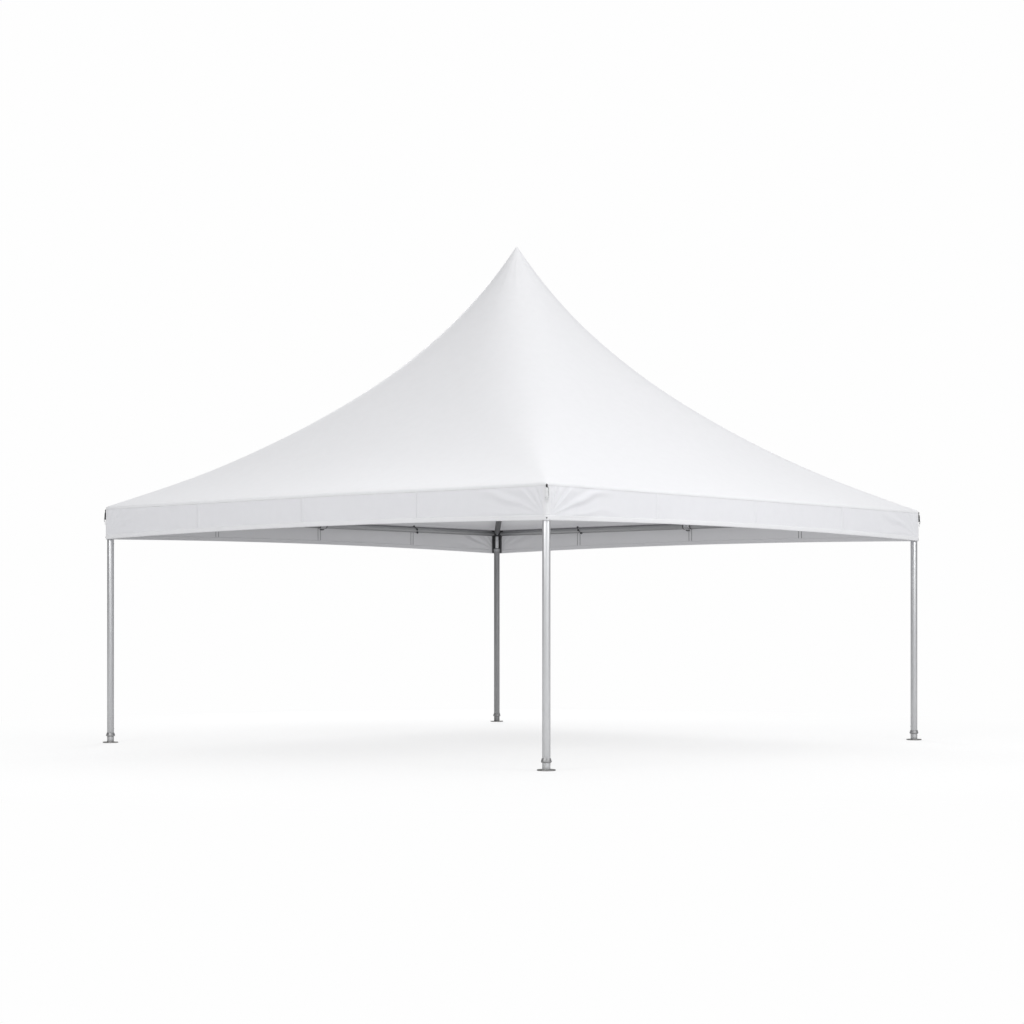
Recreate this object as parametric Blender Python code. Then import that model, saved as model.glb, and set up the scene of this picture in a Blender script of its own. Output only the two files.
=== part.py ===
# High-peak frame marquee: four tube legs carry a square ring of eave tubes, four hip rafters
# rise to a crown, and a mast on the crown pushes a white tensioned top to a point.
# Metres, +Z up. The origin is on the ground under the peak. The front faces -Y and the right +X.

import math

import bmesh
import bpy
from mathutils import Matrix, Vector

# Plan and heights of the frame
SIDE = 6.10                # across the outer faces of the eave tubes
TUBE_DIAMETER = 0.070      # legs, eave tubes and rafters
TUBE_WALL = 0.003
EAVE_HEIGHT = 2.384        # axis of the eave tubes
RAFTER_PITCH = math.radians(16.4)
RAFTER_DROP = 0.010        # of the rafters' axes under the eave tubes', at the corners

# Tensioned top
FABRIC_EAVE = 2.4412       # where the roof's outer face meets the face of the valance
PEAK_HEIGHT = 5.245        # where the four hips would meet
HIP_SHARPNESS = 1.165      # a smaller length gives a sharper peak and flatter eaves
FABRIC_OVERHANG = 0.012    # from the outer face of an eave tube to the outer face of the fabric
ROOF_DROP = 0.006          # roof panel, measured straight down
CORNER_SQUARENESS = 165    # power of the squared circle at the eave
VALANCE_BOTTOM = 2.130     # at the corners
VALANCE_ARCH = 0.035       # rise of the hem at the middle of each side
VALANCE_THICKNESS = 0.003
PEAK_HOLE_RADIUS = 0.014
PEAK_CAP_RADIUS = 0.075
PEAK_CAP_THICKNESS = 0.003
PEAK_CAP_LIFT = 0.0018     # keeps the flats of the round patch clear of the panels' creases
PEAK_CAP_NOSE = ((0.0, 0.006), (0.4, 0.005), (0.8, 0.001))  # shares of the hole's radius, and heights

# Feet
BASE_PLATE_DIAMETER = 0.160
BASE_PLATE_THICKNESS = 0.010
BASE_PLATE_CHAMFER = 0.002
SOCKET_TOP = 0.080         # top of the welded socket, where the leg's tube begins
FOOT_SPIGOT = 0.120        # length of the spigot over the socket, inside the leg
COLLAR_BOTTOM = 0.068
COLLAR_TOP = 0.106
COLLAR_DIAMETER = 0.092
COLLAR_CHAMFER = (0.004, 0.005)  # at its foot, across and up
COLLAR_BAND = 0.005        # height of the widest part
COLLAR_RIM = 0.003         # wall at its top

# Fittings
SLEEVE_DIAMETER = 0.077    # of the corner fitting, round the head of the leg
SLEEVE_BOTTOM = 2.155
SLEEVE_TOP = EAVE_HEIGHT + 0.010
SLEEVE_CHAMFER = 0.004
LEG_TOP_DROP = 0.020       # of the leg's end under the foot of the eave tubes
SPIGOT_REACH = 0.200       # from the axis of a fitting to the end of the spigot inside a tube
EAVE_SETBACK = 0.086       # from the axis of the leg to the end of an eave tube
ARM_RADIUS = 0.034
ARM_START = 0.025          # from the axis of the leg to where the arms of the fitting begin
RAFTER_SETBACK = 0.110     # from the axis of the leg to the end of a rafter
TEE_HALF_LENGTH = 0.045
TEE_STUB_DROP = 0.060      # from the axis of the eave tubes to the foot of the capped stub
TEE_STUB_DIAMETER = 0.048
TEE_STUB_CHAMFER = 0.004
CROWN_DIAMETER = 0.120
CROWN_HALF_HEIGHT = 0.060
CROWN_CHAMFER = 0.006
CROWN_SETBACK = 0.090      # from the centre of the crown to the end of a rafter
MAST_DIAMETER = 0.060
MAST_SOCKET_DIAMETER = 0.074
MAST_SOCKET_HEIGHT = 0.160
MAST_HEAD_DIAMETER = 0.084
MAST_HEAD_BOTTOM = 5.060

# Corner straps
STRAP_WIDTH = 0.028
STRAP_THICKNESS = 0.003
STRAP_TOP = 2.434
STRAP_BOTTOM = 2.322       # middle of the buckle
BUCKLE_WIDTH = 0.040
BUCKLE_HEIGHT = 0.032
BUCKLE_THICKNESS = 0.006
BUCKLE_SIDE = 0.006        # width of the buckle's frame beside its window
WINDOW_SHARE = 0.30        # of the buckle's height
WINDOW_DROP_SHARE = 0.22

GAP = 0.0003               # between pieces that touch
FACETS = 20                # round a tube
HIP_RINGS = 13             # rings of a roof panel, from the hem of the peak cap to the eave
PANEL_COLUMNS = 18         # columns of a roof panel, from hip to hip

TUBE_RADIUS = TUBE_DIAMETER / 2
BORE_RADIUS = TUBE_RADIUS - TUBE_WALL
SPIGOT_RADIUS = BORE_RADIUS - 0.0005
AXIS_OFFSET = SIDE / 2 - TUBE_RADIUS
FABRIC_HALF = SIDE / 2 + FABRIC_OVERHANG
CORNER_INVERSE = 1 / CORNER_SQUARENESS
HIP_LENGTH = FABRIC_HALF * 2 ** (0.5 - CORNER_INVERSE)
LEG_TOP = EAVE_HEIGHT - TUBE_RADIUS - LEG_TOP_DROP
RAFTER_FOOT = EAVE_HEIGHT - RAFTER_DROP
CROWN_HEIGHT = RAFTER_FOOT + AXIS_OFFSET * math.sqrt(2) * math.tan(RAFTER_PITCH)

CORNERS = {
    "front_left": (-1, -1),
    "front_right": (1, -1),
    "back_left": (-1, 1),
    "back_right": (1, 1),
}
SIDES_OF_TENT = {
    "right": 0.0,
    "back": math.pi / 2,
    "left": math.pi,
    "front": -math.pi / 2,
}


def clear_scene():
    for old in list(bpy.data.objects):
        bpy.data.objects.remove(old)


def make_material(name, colour, roughness, metallic):
    material = bpy.data.materials.new(name)
    material.use_nodes = True
    shader = material.node_tree.nodes["Principled BSDF"]
    shader.inputs["Base Color"].default_value = (*colour, 1.0)
    shader.inputs["Roughness"].default_value = roughness
    shader.inputs["Metallic"].default_value = metallic
    return material


def finish(name, bm, material, smooth_angle=None):
    """Turn a bmesh into one closed object with its faces pointing out."""
    bmesh.ops.remove_doubles(bm, verts=bm.verts, dist=1e-6)
    bmesh.ops.recalc_face_normals(bm, faces=bm.faces)
    mesh = bpy.data.meshes.new(name)
    bm.to_mesh(mesh)
    bm.free()
    mesh.materials.append(material)
    if smooth_angle is not None:
        mesh.shade_smooth()
        mesh.set_sharp_from_angle(angle=smooth_angle)
    piece = bpy.data.objects.new(name, mesh)
    bpy.context.collection.objects.link(piece)
    return piece


def turned(name, profile, material, closed_profile=False):
    """Turn a list of (radius, height) points round the Z axis."""
    bm = bmesh.new()
    points = [bm.verts.new((radius, 0.0, height)) for radius, height in profile]
    pairs = list(zip(points, points[1:]))
    if closed_profile:
        pairs.append((points[-1], points[0]))
    edges = [bm.edges.new(pair) for pair in pairs]
    bmesh.ops.spin(bm, geom=points + edges, axis=(0, 0, 1), cent=(0, 0, 0),
                   angle=2 * math.pi, steps=FACETS, use_merge=True)
    return finish(name, bm, material, smooth_angle=math.radians(40))


def tube(name, outer, inner, length, material):
    """A round tube from the origin along +Z."""
    profile = [(inner, 0.0), (outer, 0.0), (outer, length), (inner, length)]
    return turned(name, profile, material, closed_profile=True)


def box(name, size, material):
    bm = bmesh.new()
    bmesh.ops.create_cube(bm, size=1.0)
    bmesh.ops.scale(bm, vec=size, verts=bm.verts)
    return finish(name, bm, material)


def aim(piece, start, direction):
    """Place a piece that was made along +Z so that it starts at a point and runs in a direction."""
    piece.location = start
    piece.rotation_euler = Vector(direction).to_track_quat("Z", "Y").to_euler()


def combine(piece, tool, operation):
    """Join a tool to a piece, or cut it out, and keep the tool out of the model."""
    change = piece.modifiers.new(operation.lower(), "BOOLEAN")
    change.operation = operation
    change.solver = "EXACT"
    change.object = tool
    tool.hide_render = True
    tool.display_type = "WIRE"


def hip_height(radius):
    """Height of the roof's outer face over its hips, at a distance from the centre."""
    fall = math.log((radius + HIP_SHARPNESS) / HIP_SHARPNESS)
    whole = math.log((HIP_LENGTH + HIP_SHARPNESS) / HIP_SHARPNESS)
    return PEAK_HEIGHT - (PEAK_HEIGHT - FABRIC_EAVE) * fall / whole


def level_radius(hip_radius, angle):
    """Level section of the top: round at the peak, squared at the eave, through the hips."""
    openness = (1 - min(hip_radius / HIP_LENGTH, 1.0)) ** 2
    inverse = CORNER_INVERSE + (0.5 - CORNER_INVERSE) * openness
    half = hip_radius * 2 ** (inverse - 0.5)
    power = 1 / inverse
    spread = abs(math.cos(angle)) ** power + abs(math.sin(angle)) ** power
    return half / spread ** inverse


def square_up(bm):
    """Pull evenly turned rings into level sections, with more columns near the hips."""
    for vert in bm.verts:
        radius = math.hypot(vert.co.x, vert.co.y)
        share = math.atan2(vert.co.y, vert.co.x) / (math.pi / 4)
        crowded = 1 - (1 - min(abs(share), 1.0)) ** 3
        angle = math.copysign(crowded * math.pi / 4, share)
        reach = level_radius(radius, angle)
        vert.co.x = reach * math.cos(angle)
        vert.co.y = reach * math.sin(angle)


def set_on_side(piece, heading):
    """Turn a piece made on the +X side to its own side, with half a gap at each hip."""
    shift = GAP / math.sqrt(2)
    piece.rotation_euler = (0.0, 0.0, heading)
    piece.location = (shift * math.cos(heading), shift * math.sin(heading), 0.0)


def roof_panel(side, heading, material):
    bm = bmesh.new()
    radii = [PEAK_HOLE_RADIUS]
    for step in range(HIP_RINGS):
        share = (step / (HIP_RINGS - 1)) ** 1.4
        radii.append(PEAK_CAP_RADIUS + (HIP_LENGTH - PEAK_CAP_RADIUS) * share)
    points = [bm.verts.new((radius, 0.0, hip_height(radius))) for radius in radii]
    edges = [bm.edges.new(pair) for pair in zip(points, points[1:])]
    start = math.radians(-45)
    bmesh.ops.rotate(bm, verts=points, cent=(0, 0, 0), matrix=Matrix.Rotation(start, 3, "Z"))
    bmesh.ops.spin(bm, geom=points + edges, axis=(0, 0, 1), cent=(0, 0, 0),
                   angle=math.pi / 2, steps=PANEL_COLUMNS)
    square_up(bm)
    thicken(bm, Vector((0, 0, -ROOF_DROP)))
    piece = finish(f"{side}_roof_panel", bm, material, smooth_angle=math.radians(40))
    set_on_side(piece, heading)


def thicken(bm, offset):
    """Give a sheet its thickness by a second face, moved by an offset."""
    result = bmesh.ops.extrude_face_region(bm, geom=list(bm.faces))
    moved = [item for item in result["geom"] if isinstance(item, bmesh.types.BMVert)]
    bmesh.ops.translate(bm, vec=offset, verts=moved)


def valance(side, heading, material):
    """Upright band that follows the edge of the roof, with an arched hem."""
    bm = bmesh.new()
    radius = HIP_LENGTH
    start = math.radians(-45)
    corner = bm.verts.new((radius * math.cos(start), radius * math.sin(start), 0.0))
    bmesh.ops.spin(bm, geom=[corner], axis=(0, 0, 1), cent=(0, 0, 0),
                   angle=math.pi / 2, steps=PANEL_COLUMNS)
    square_up(bm)
    top = FABRIC_EAVE - ROOF_DROP - GAP
    for vert in bm.verts:
        vert.co.z = top
    result = bmesh.ops.extrude_edge_only(bm, edges=list(bm.edges))
    for vert in (item for item in result["geom"] if isinstance(item, bmesh.types.BMVert)):
        along = vert.co.y / FABRIC_HALF
        vert.co.z = VALANCE_BOTTOM + VALANCE_ARCH * (1 - along * along)
    result = bmesh.ops.extrude_face_region(bm, geom=list(bm.faces))
    shrink = (FABRIC_HALF - VALANCE_THICKNESS) / FABRIC_HALF
    inner = [item for item in result["geom"] if isinstance(item, bmesh.types.BMVert)]
    bmesh.ops.scale(bm, vec=(shrink, shrink, 1.0), verts=inner)
    piece = finish(f"{side}_valance", bm, material, smooth_angle=math.radians(40))
    set_on_side(piece, heading)


def peak_cap(material):
    """Sewn patch that closes the top over the mast head, with a plug in the hole of the panels."""
    hem = hip_height(PEAK_CAP_RADIUS) + PEAK_CAP_LIFT
    crest = hip_height(PEAK_HOLE_RADIUS) + PEAK_CAP_LIFT
    plug_radius = PEAK_HOLE_RADIUS - 2 * GAP
    plug_foot = hip_height(PEAK_HOLE_RADIUS) - ROOF_DROP
    nose = [(PEAK_HOLE_RADIUS * share, crest + PEAK_CAP_THICKNESS + rise) for share, rise in PEAK_CAP_NOSE]
    profile = nose + [
        (PEAK_CAP_RADIUS, hem + PEAK_CAP_THICKNESS),
        (PEAK_CAP_RADIUS, hem),
        (PEAK_HOLE_RADIUS, crest),
        (plug_radius, crest),
        (plug_radius, plug_foot),
        (0.0, plug_foot),
    ]
    turned("peak_cap", profile, material)


def mast_and_head(mast_material, head_material):
    foot = CROWN_HEIGHT + CROWN_HALF_HEIGHT + GAP
    head_radius = MAST_HEAD_DIAMETER / 2
    head_top = hip_height(PEAK_HOLE_RADIUS) - ROOF_DROP - GAP
    mast = tube("mast", MAST_DIAMETER / 2, MAST_DIAMETER / 2 - TUBE_WALL,
                MAST_HEAD_BOTTOM - foot - GAP, mast_material)
    mast.location.z = foot
    shoulder = hip_height(head_radius) - ROOF_DROP - 2 * GAP
    profile = [(0.0, MAST_HEAD_BOTTOM), (head_radius, MAST_HEAD_BOTTOM), (head_radius, shoulder)]
    for share in (0.3, 0.6):
        radius = head_radius * (1 - share)
        profile.append((radius, hip_height(radius) - ROOF_DROP - 2 * GAP))
    profile.extend([(PEAK_HOLE_RADIUS * 0.6, head_top), (0.0, head_top)])
    turned("mast_head", profile, head_material)


def foot(corner, signs, plate_material, collar_material):
    """Round base plate with a welded socket, and a cone collar at the foot of the leg."""
    x, y = (sign * AXIS_OFFSET for sign in signs)
    plate = BASE_PLATE_DIAMETER / 2
    profile = [
        (0.0, 0.0),
        (plate, 0.0),
        (plate, BASE_PLATE_THICKNESS - BASE_PLATE_CHAMFER),
        (plate - BASE_PLATE_CHAMFER, BASE_PLATE_THICKNESS),
        (TUBE_RADIUS, BASE_PLATE_THICKNESS),
        (TUBE_RADIUS, SOCKET_TOP),
        (SPIGOT_RADIUS, SOCKET_TOP),
        (SPIGOT_RADIUS, SOCKET_TOP + FOOT_SPIGOT),
        (0.0, SOCKET_TOP + FOOT_SPIGOT),
    ]
    base = turned(f"{corner}_base_plate", profile, plate_material)
    base.location = (x, y, 0.0)
    bore = TUBE_RADIUS + GAP
    wide = COLLAR_DIAMETER / 2
    rim = [
        (bore, COLLAR_BOTTOM),
        (wide - COLLAR_CHAMFER[0], COLLAR_BOTTOM),
        (wide, COLLAR_BOTTOM + COLLAR_CHAMFER[1]),
        (wide, COLLAR_BOTTOM + COLLAR_CHAMFER[1] + COLLAR_BAND),
        (bore + COLLAR_RIM, COLLAR_TOP),
        (bore, COLLAR_TOP),
    ]
    collar = turned(f"{corner}_leg_collar", rim, collar_material, closed_profile=True)
    collar.location = (x, y, 0.0)


def leg(corner, signs, material):
    bottom = SOCKET_TOP + GAP
    post = tube(f"{corner}_leg", TUBE_RADIUS, BORE_RADIUS, LEG_TOP - bottom, material)
    post.location = (signs[0] * AXIS_OFFSET, signs[1] * AXIS_OFFSET, bottom)


def spigot_profile(start, setback):
    """Arm of a fitting: as wide as a tube up to the tube's end, then narrower inside it."""
    shoulder = setback - GAP
    return [
        (0.0, start),
        (ARM_RADIUS, start),
        (ARM_RADIUS, shoulder),
        (SPIGOT_RADIUS, shoulder),
        (SPIGOT_RADIUS, SPIGOT_REACH),
        (0.0, SPIGOT_REACH),
    ]


def corner_fitting(corner, signs, material):
    """Sleeve over the leg with spigots for two eave tubes and a rafter."""
    x, y = (sign * AXIS_OFFSET for sign in signs)
    sleeve = SLEEVE_DIAMETER / 2
    bore = TUBE_RADIUS + GAP
    profile = [
        (0.0, SLEEVE_TOP),
        (sleeve - SLEEVE_CHAMFER, SLEEVE_TOP),
        (sleeve, SLEEVE_TOP - SLEEVE_CHAMFER),
        (sleeve, SLEEVE_BOTTOM),
        (bore, SLEEVE_BOTTOM),
        (bore, LEG_TOP + GAP),
        (0.0, LEG_TOP + GAP),
    ]
    body = turned(f"{corner}_corner_fitting", profile, material)
    body.location = (x, y, 0.0)
    slope = math.sin(RAFTER_PITCH)
    flat = math.cos(RAFTER_PITCH) / math.sqrt(2)
    arms = {
        "x": ((-signs[0], 0.0, 0.0), EAVE_HEIGHT, EAVE_SETBACK),
        "y": ((0.0, -signs[1], 0.0), EAVE_HEIGHT, EAVE_SETBACK),
        "hip": ((-signs[0] * flat, -signs[1] * flat, slope), RAFTER_FOOT, RAFTER_SETBACK),
    }
    for arm, (direction, height, setback) in arms.items():
        steps = spigot_profile(ARM_START, setback)
        spigot = turned(f"{corner}_{arm}_spigot", steps, material)
        aim(spigot, (x, y, height), direction)
        combine(body, spigot, "UNION")


def eave_tubes(side, heading, material):
    """Two tubes of one side, from the corner fittings to the tee in the middle."""
    outward = Vector((math.cos(heading), math.sin(heading), 0.0))
    along = Vector((-outward.y, outward.x, 0.0))
    middle = outward * AXIS_OFFSET + Vector((0, 0, EAVE_HEIGHT))
    length = AXIS_OFFSET - EAVE_SETBACK - TEE_HALF_LENGTH - GAP
    for number, way in enumerate((-1, 1), start=1):
        piece = tube(f"{side}_eave_tube_{number}", TUBE_RADIUS, BORE_RADIUS, length, material)
        aim(piece, middle + along * way * (TEE_HALF_LENGTH + GAP), along * way)


def side_tee(side, heading, material):
    """Fitting that joins the two eave tubes, with a capped stub for a middle leg."""
    outward = Vector((math.cos(heading), math.sin(heading), 0.0))
    along = Vector((-outward.y, outward.x, 0.0))
    middle = outward * AXIS_OFFSET + Vector((0, 0, EAVE_HEIGHT))
    profile = [
        (0.0, -SPIGOT_REACH),
        (SPIGOT_RADIUS, -SPIGOT_REACH),
        (SPIGOT_RADIUS, -TEE_HALF_LENGTH),
        (TUBE_RADIUS, -TEE_HALF_LENGTH),
        (TUBE_RADIUS, TEE_HALF_LENGTH),
        (SPIGOT_RADIUS, TEE_HALF_LENGTH),
        (SPIGOT_RADIUS, SPIGOT_REACH),
        (0.0, SPIGOT_REACH),
    ]
    body = turned(f"{side}_eave_tee", profile, material)
    aim(body, middle, along)
    stub_radius = TEE_STUB_DIAMETER / 2
    stub_profile = [
        (0.0, 0.0),
        (stub_radius, 0.0),
        (stub_radius, TEE_STUB_DROP - TEE_STUB_CHAMFER),
        (stub_radius - TEE_STUB_CHAMFER, TEE_STUB_DROP),
        (0.0, TEE_STUB_DROP),
    ]
    stub = turned(f"{side}_tee_stub", stub_profile, material)
    aim(stub, middle, (0, 0, -1))
    combine(body, stub, "UNION")


def rafter(corner, signs, material):
    """Hip rafter from the corner fitting up to the crown."""
    slope = math.sin(RAFTER_PITCH)
    flat = math.cos(RAFTER_PITCH) / math.sqrt(2)
    direction = Vector((-signs[0] * flat, -signs[1] * flat, slope))
    corner_point = Vector((signs[0] * AXIS_OFFSET, signs[1] * AXIS_OFFSET, RAFTER_FOOT))
    whole = AXIS_OFFSET * math.sqrt(2) / math.cos(RAFTER_PITCH)
    length = whole - RAFTER_SETBACK - CROWN_SETBACK
    piece = tube(f"{corner}_rafter", TUBE_RADIUS, BORE_RADIUS, length, material)
    aim(piece, corner_point + direction * RAFTER_SETBACK, direction)


def crown(material):
    """Hub with a spigot for each rafter and a socket for the mast."""
    hub = CROWN_DIAMETER / 2
    socket = MAST_SOCKET_DIAMETER / 2
    bore = MAST_DIAMETER / 2 + GAP
    top = CROWN_HALF_HEIGHT + MAST_SOCKET_HEIGHT
    profile = [
        (0.0, -CROWN_HALF_HEIGHT),
        (hub - CROWN_CHAMFER, -CROWN_HALF_HEIGHT),
        (hub, -CROWN_HALF_HEIGHT + CROWN_CHAMFER),
        (hub, CROWN_HALF_HEIGHT - CROWN_CHAMFER),
        (hub - CROWN_CHAMFER, CROWN_HALF_HEIGHT),
        (socket, CROWN_HALF_HEIGHT),
        (socket, top),
        (bore, top),
        (bore, CROWN_HALF_HEIGHT),
        (0.0, CROWN_HALF_HEIGHT),
    ]
    body = turned("crown", profile, material)
    body.location.z = CROWN_HEIGHT
    fall = -math.sin(RAFTER_PITCH)
    flat = math.cos(RAFTER_PITCH) / math.sqrt(2)
    for corner, signs in CORNERS.items():
        spigot = turned(f"crown_{corner}_spigot", spigot_profile(0.0, CROWN_SETBACK), material)
        aim(spigot, (0.0, 0.0, CROWN_HEIGHT), (signs[0] * flat, signs[1] * flat, fall))
        combine(body, spigot, "UNION")


def corner_strap(corner, signs, strap_material):
    """Webbing strap with a frame buckle, laid down the corner of the valance."""
    heading = math.atan2(signs[1], signs[0])
    outward = Vector((math.cos(heading), math.sin(heading), 0.0))
    length = STRAP_TOP - STRAP_BOTTOM
    reach = HIP_LENGTH + 2 * GAP + STRAP_THICKNESS / 2
    strap = box(f"{corner}_corner_strap", (STRAP_THICKNESS, STRAP_WIDTH, length), strap_material)
    strap.location = outward * reach + Vector((0, 0, (STRAP_TOP + STRAP_BOTTOM) / 2))
    strap.rotation_euler = (0.0, 0.0, heading)
    frame = box(f"{corner}_buckle", (BUCKLE_THICKNESS, BUCKLE_WIDTH, BUCKLE_HEIGHT), strap_material)
    frame_reach = HIP_LENGTH + 2 * GAP + BUCKLE_THICKNESS / 2
    frame.location = outward * frame_reach + Vector((0, 0, STRAP_BOTTOM))
    frame.rotation_euler = (0.0, 0.0, heading)
    window_size = (BUCKLE_THICKNESS * 3, BUCKLE_WIDTH - 2 * BUCKLE_SIDE, BUCKLE_HEIGHT * WINDOW_SHARE)
    window = box(f"{corner}_buckle_window", window_size, strap_material)
    window.location = frame.location - Vector((0, 0, BUCKLE_HEIGHT * WINDOW_DROP_SHARE))
    window.rotation_euler = (0.0, 0.0, heading)
    combine(strap, frame, "UNION")
    combine(strap, window, "DIFFERENCE")


clear_scene()
aluminium = make_material("satin_aluminium", (0.62, 0.63, 0.65), 0.35, 1.0)
steel = make_material("galvanised_steel", (0.42, 0.43, 0.44), 0.55, 1.0)
casting = make_material("cast_fitting", (0.50, 0.51, 0.52), 0.50, 1.0)
vinyl = make_material("white_vinyl", (0.90, 0.90, 0.89), 0.50, 0.0)
webbing = make_material("white_webbing", (0.80, 0.80, 0.79), 0.80, 0.0)

for corner_name, corner_signs in CORNERS.items():
    foot(corner_name, corner_signs, steel, casting)
    leg(corner_name, corner_signs, aluminium)
    corner_fitting(corner_name, corner_signs, casting)
    rafter(corner_name, corner_signs, aluminium)
    corner_strap(corner_name, corner_signs, webbing)

for side_name, side_heading in SIDES_OF_TENT.items():
    eave_tubes(side_name, side_heading, aluminium)
    side_tee(side_name, side_heading, casting)
    roof_panel(side_name, side_heading, vinyl)
    valance(side_name, side_heading, vinyl)

crown(casting)
mast_and_head(aluminium, casting)
peak_cap(vinyl)
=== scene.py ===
# %% [markdown]
# # Dressing a high-peak frame marquee
#
# The imported model holds every pole, fitting and panel of the tent at its real size, as plain
# faceted solids. This lesson gives them the surfaces of the real tent: one taut sheet of coated
# cloth, a valance that hangs and wrinkles, drawn aluminium tube, cast fittings, webbing and
# buckles. Each step says what the thing is on a real marquee before it is made.
#
# First the model is loaded. The dressed tent has to keep that size.

# %% Load the imported model
import math
import random

import bmesh
import bpy
from mathutils import Matrix, Vector, noise
from mathutils.bvhtree import BVHTree


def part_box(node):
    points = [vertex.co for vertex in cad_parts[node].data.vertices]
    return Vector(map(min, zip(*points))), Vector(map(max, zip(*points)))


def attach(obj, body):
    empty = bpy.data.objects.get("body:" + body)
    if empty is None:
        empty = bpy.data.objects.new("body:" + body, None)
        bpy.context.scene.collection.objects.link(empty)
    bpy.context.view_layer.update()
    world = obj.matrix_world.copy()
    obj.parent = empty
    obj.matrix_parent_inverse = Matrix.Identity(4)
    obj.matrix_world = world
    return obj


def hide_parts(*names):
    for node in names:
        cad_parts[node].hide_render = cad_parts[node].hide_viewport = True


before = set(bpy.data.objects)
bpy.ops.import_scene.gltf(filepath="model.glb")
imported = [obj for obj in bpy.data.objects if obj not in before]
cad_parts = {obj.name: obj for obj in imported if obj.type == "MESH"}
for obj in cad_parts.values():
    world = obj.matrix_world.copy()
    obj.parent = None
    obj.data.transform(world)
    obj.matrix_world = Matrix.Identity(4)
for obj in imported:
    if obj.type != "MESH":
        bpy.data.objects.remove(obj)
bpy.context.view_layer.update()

print("solids in the model:", len(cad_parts))

# %% [markdown]
# ## Sizes read from the model
#
# Everything that is added has to sit on a solid of the model, so the places are read from the
# solids and not typed in again. A leg gives the radius of the tubes and how far the legs stand
# from the middle, a tee gives the height of the eave tubes, and a valance the height of the hem.

# %% Sizes of the frame
low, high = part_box("front_right_leg")
TUBE_RADIUS = (high.x - low.x) / 2
AXIS_OFFSET = (high.x + low.x) / 2
LEG_FOOT = low.z
LEG_TOP = high.z
low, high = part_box("front_eave_tee")
EAVE_HEIGHT = high.z - TUBE_RADIUS
TEE_BOTTOM = low.z
low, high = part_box("front_valance")
HEM_HEIGHT = low.z
FABRIC_HALF = -low.y
WALL_TOP = high.z
TUBE_WALL = 0.003

CORNERS = {
    "front_left": (-1, -1),
    "front_right": (1, -1),
    "back_left": (-1, 1),
    "back_right": (1, 1),
}
SIDES = {
    "right": 0.0,
    "back": math.pi / 2,
    "left": math.pi,
    "front": -math.pi / 2,
}
print(f"tubes {2000 * TUBE_RADIUS:.0f} mm, legs {AXIS_OFFSET:.3f} m from the middle")
print(f"eave tubes at {EAVE_HEIGHT:.3f} m, hem at {HEM_HEIGHT:.3f} m")

# %% [markdown]
# ## The camera
#
# A camera can be worked out from a photograph when the object has corners whose places are
# known. The four feet, the four corners of the hem and the peak gave this one. It stands level,
# a little over a metre up, and the picture's frame is shifted upwards, as an architect's camera
# does, so that the legs stay parallel.

# %% Camera at the photograph's place
CAMERA_PLACE = (-16.246, -14.428, 1.276)
CAMERA_HEADING = math.radians(41.74)     # from +X towards +Y
CAMERA_LENS = 72.08                      # on a sensor 36 mm wide
FRAME_SHIFT = 0.1063                     # of the picture's width, upwards

camera_data = bpy.data.cameras.new("photo_camera")
camera_data.sensor_width = 36
camera_data.lens = CAMERA_LENS
camera_data.shift_y = FRAME_SHIFT
camera = bpy.data.objects.new("photo_camera", camera_data)
camera.location = CAMERA_PLACE
camera.rotation_euler = (math.radians(90), 0.0, CAMERA_HEADING - math.radians(90))
bpy.context.collection.objects.link(camera)
bpy.context.scene.camera = camera
print("camera to the middle of the tent:", round(Vector(CAMERA_PLACE).length, 2), "m")

# %% [markdown]
# ## Adding shader nodes with few words
#
# A material is a tree of nodes. This helper adds one node, sets its options and fills its
# sockets: a socket is given either a value or the output of another node. All the materials
# below are written with it, so a line reads like one node in the editor.

# %% Helper for node trees
def add_node(tree, kind, inputs=None, **settings):
    """Add a node; inputs maps a socket's name or number to a value or to another node's output."""
    made = tree.nodes.new(kind)
    for name, value in settings.items():
        setattr(made, name, value)
    for name, value in (inputs or {}).items():
        if isinstance(value, bpy.types.NodeSocket):
            tree.links.new(value, made.inputs[name])
        else:
            made.inputs[name].default_value = value
    return made


def calculate(tree, operation, *values):
    """One Math node, from its operation and its two or three values."""
    made = add_node(tree, "ShaderNodeMath", dict(enumerate(values)), operation=operation)
    return made.outputs[0]


# %% [markdown]
# ## A white room
#
# The photograph is a product picture on white. The tent stands in a bright room that is darkest
# behind its left corner, with three large softboxes round it. The strongest one is high behind
# the tent and skims over the roof, so the flat foot of the roof is brighter than the steep part
# under the peak. The other two light the two sides that the camera sees. The camera itself sees
# the room as plain white: a Light Path node tells the rays that come straight from the camera
# from those that light the tent. Rays that bounce off metal meet a room with one bright window
# side and a dark far side, as a photographer sets it up with black panels, so that tubes get
# dark rims. The colours are shown as they are, without a film look.

# %% Room light
AMBIENT = 0.515                          # brightness of the room, beside white
ROOM_SLOPE = Vector((0.22, -0.20, 0.22)) # the room is brighter to the right, in front and above
MIRRORED_DARK = 0.22                     # what metal mirrors of the room's far side
MIRRORED_WINDOW = 0.95                   # and how much brighter the side behind the camera is
WINDOW_SIDE = Vector((-0.427, -0.904, 0.0))

scene = bpy.context.scene
scene.view_settings.view_transform = "Standard"
scene.view_settings.look = "None"

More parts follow.
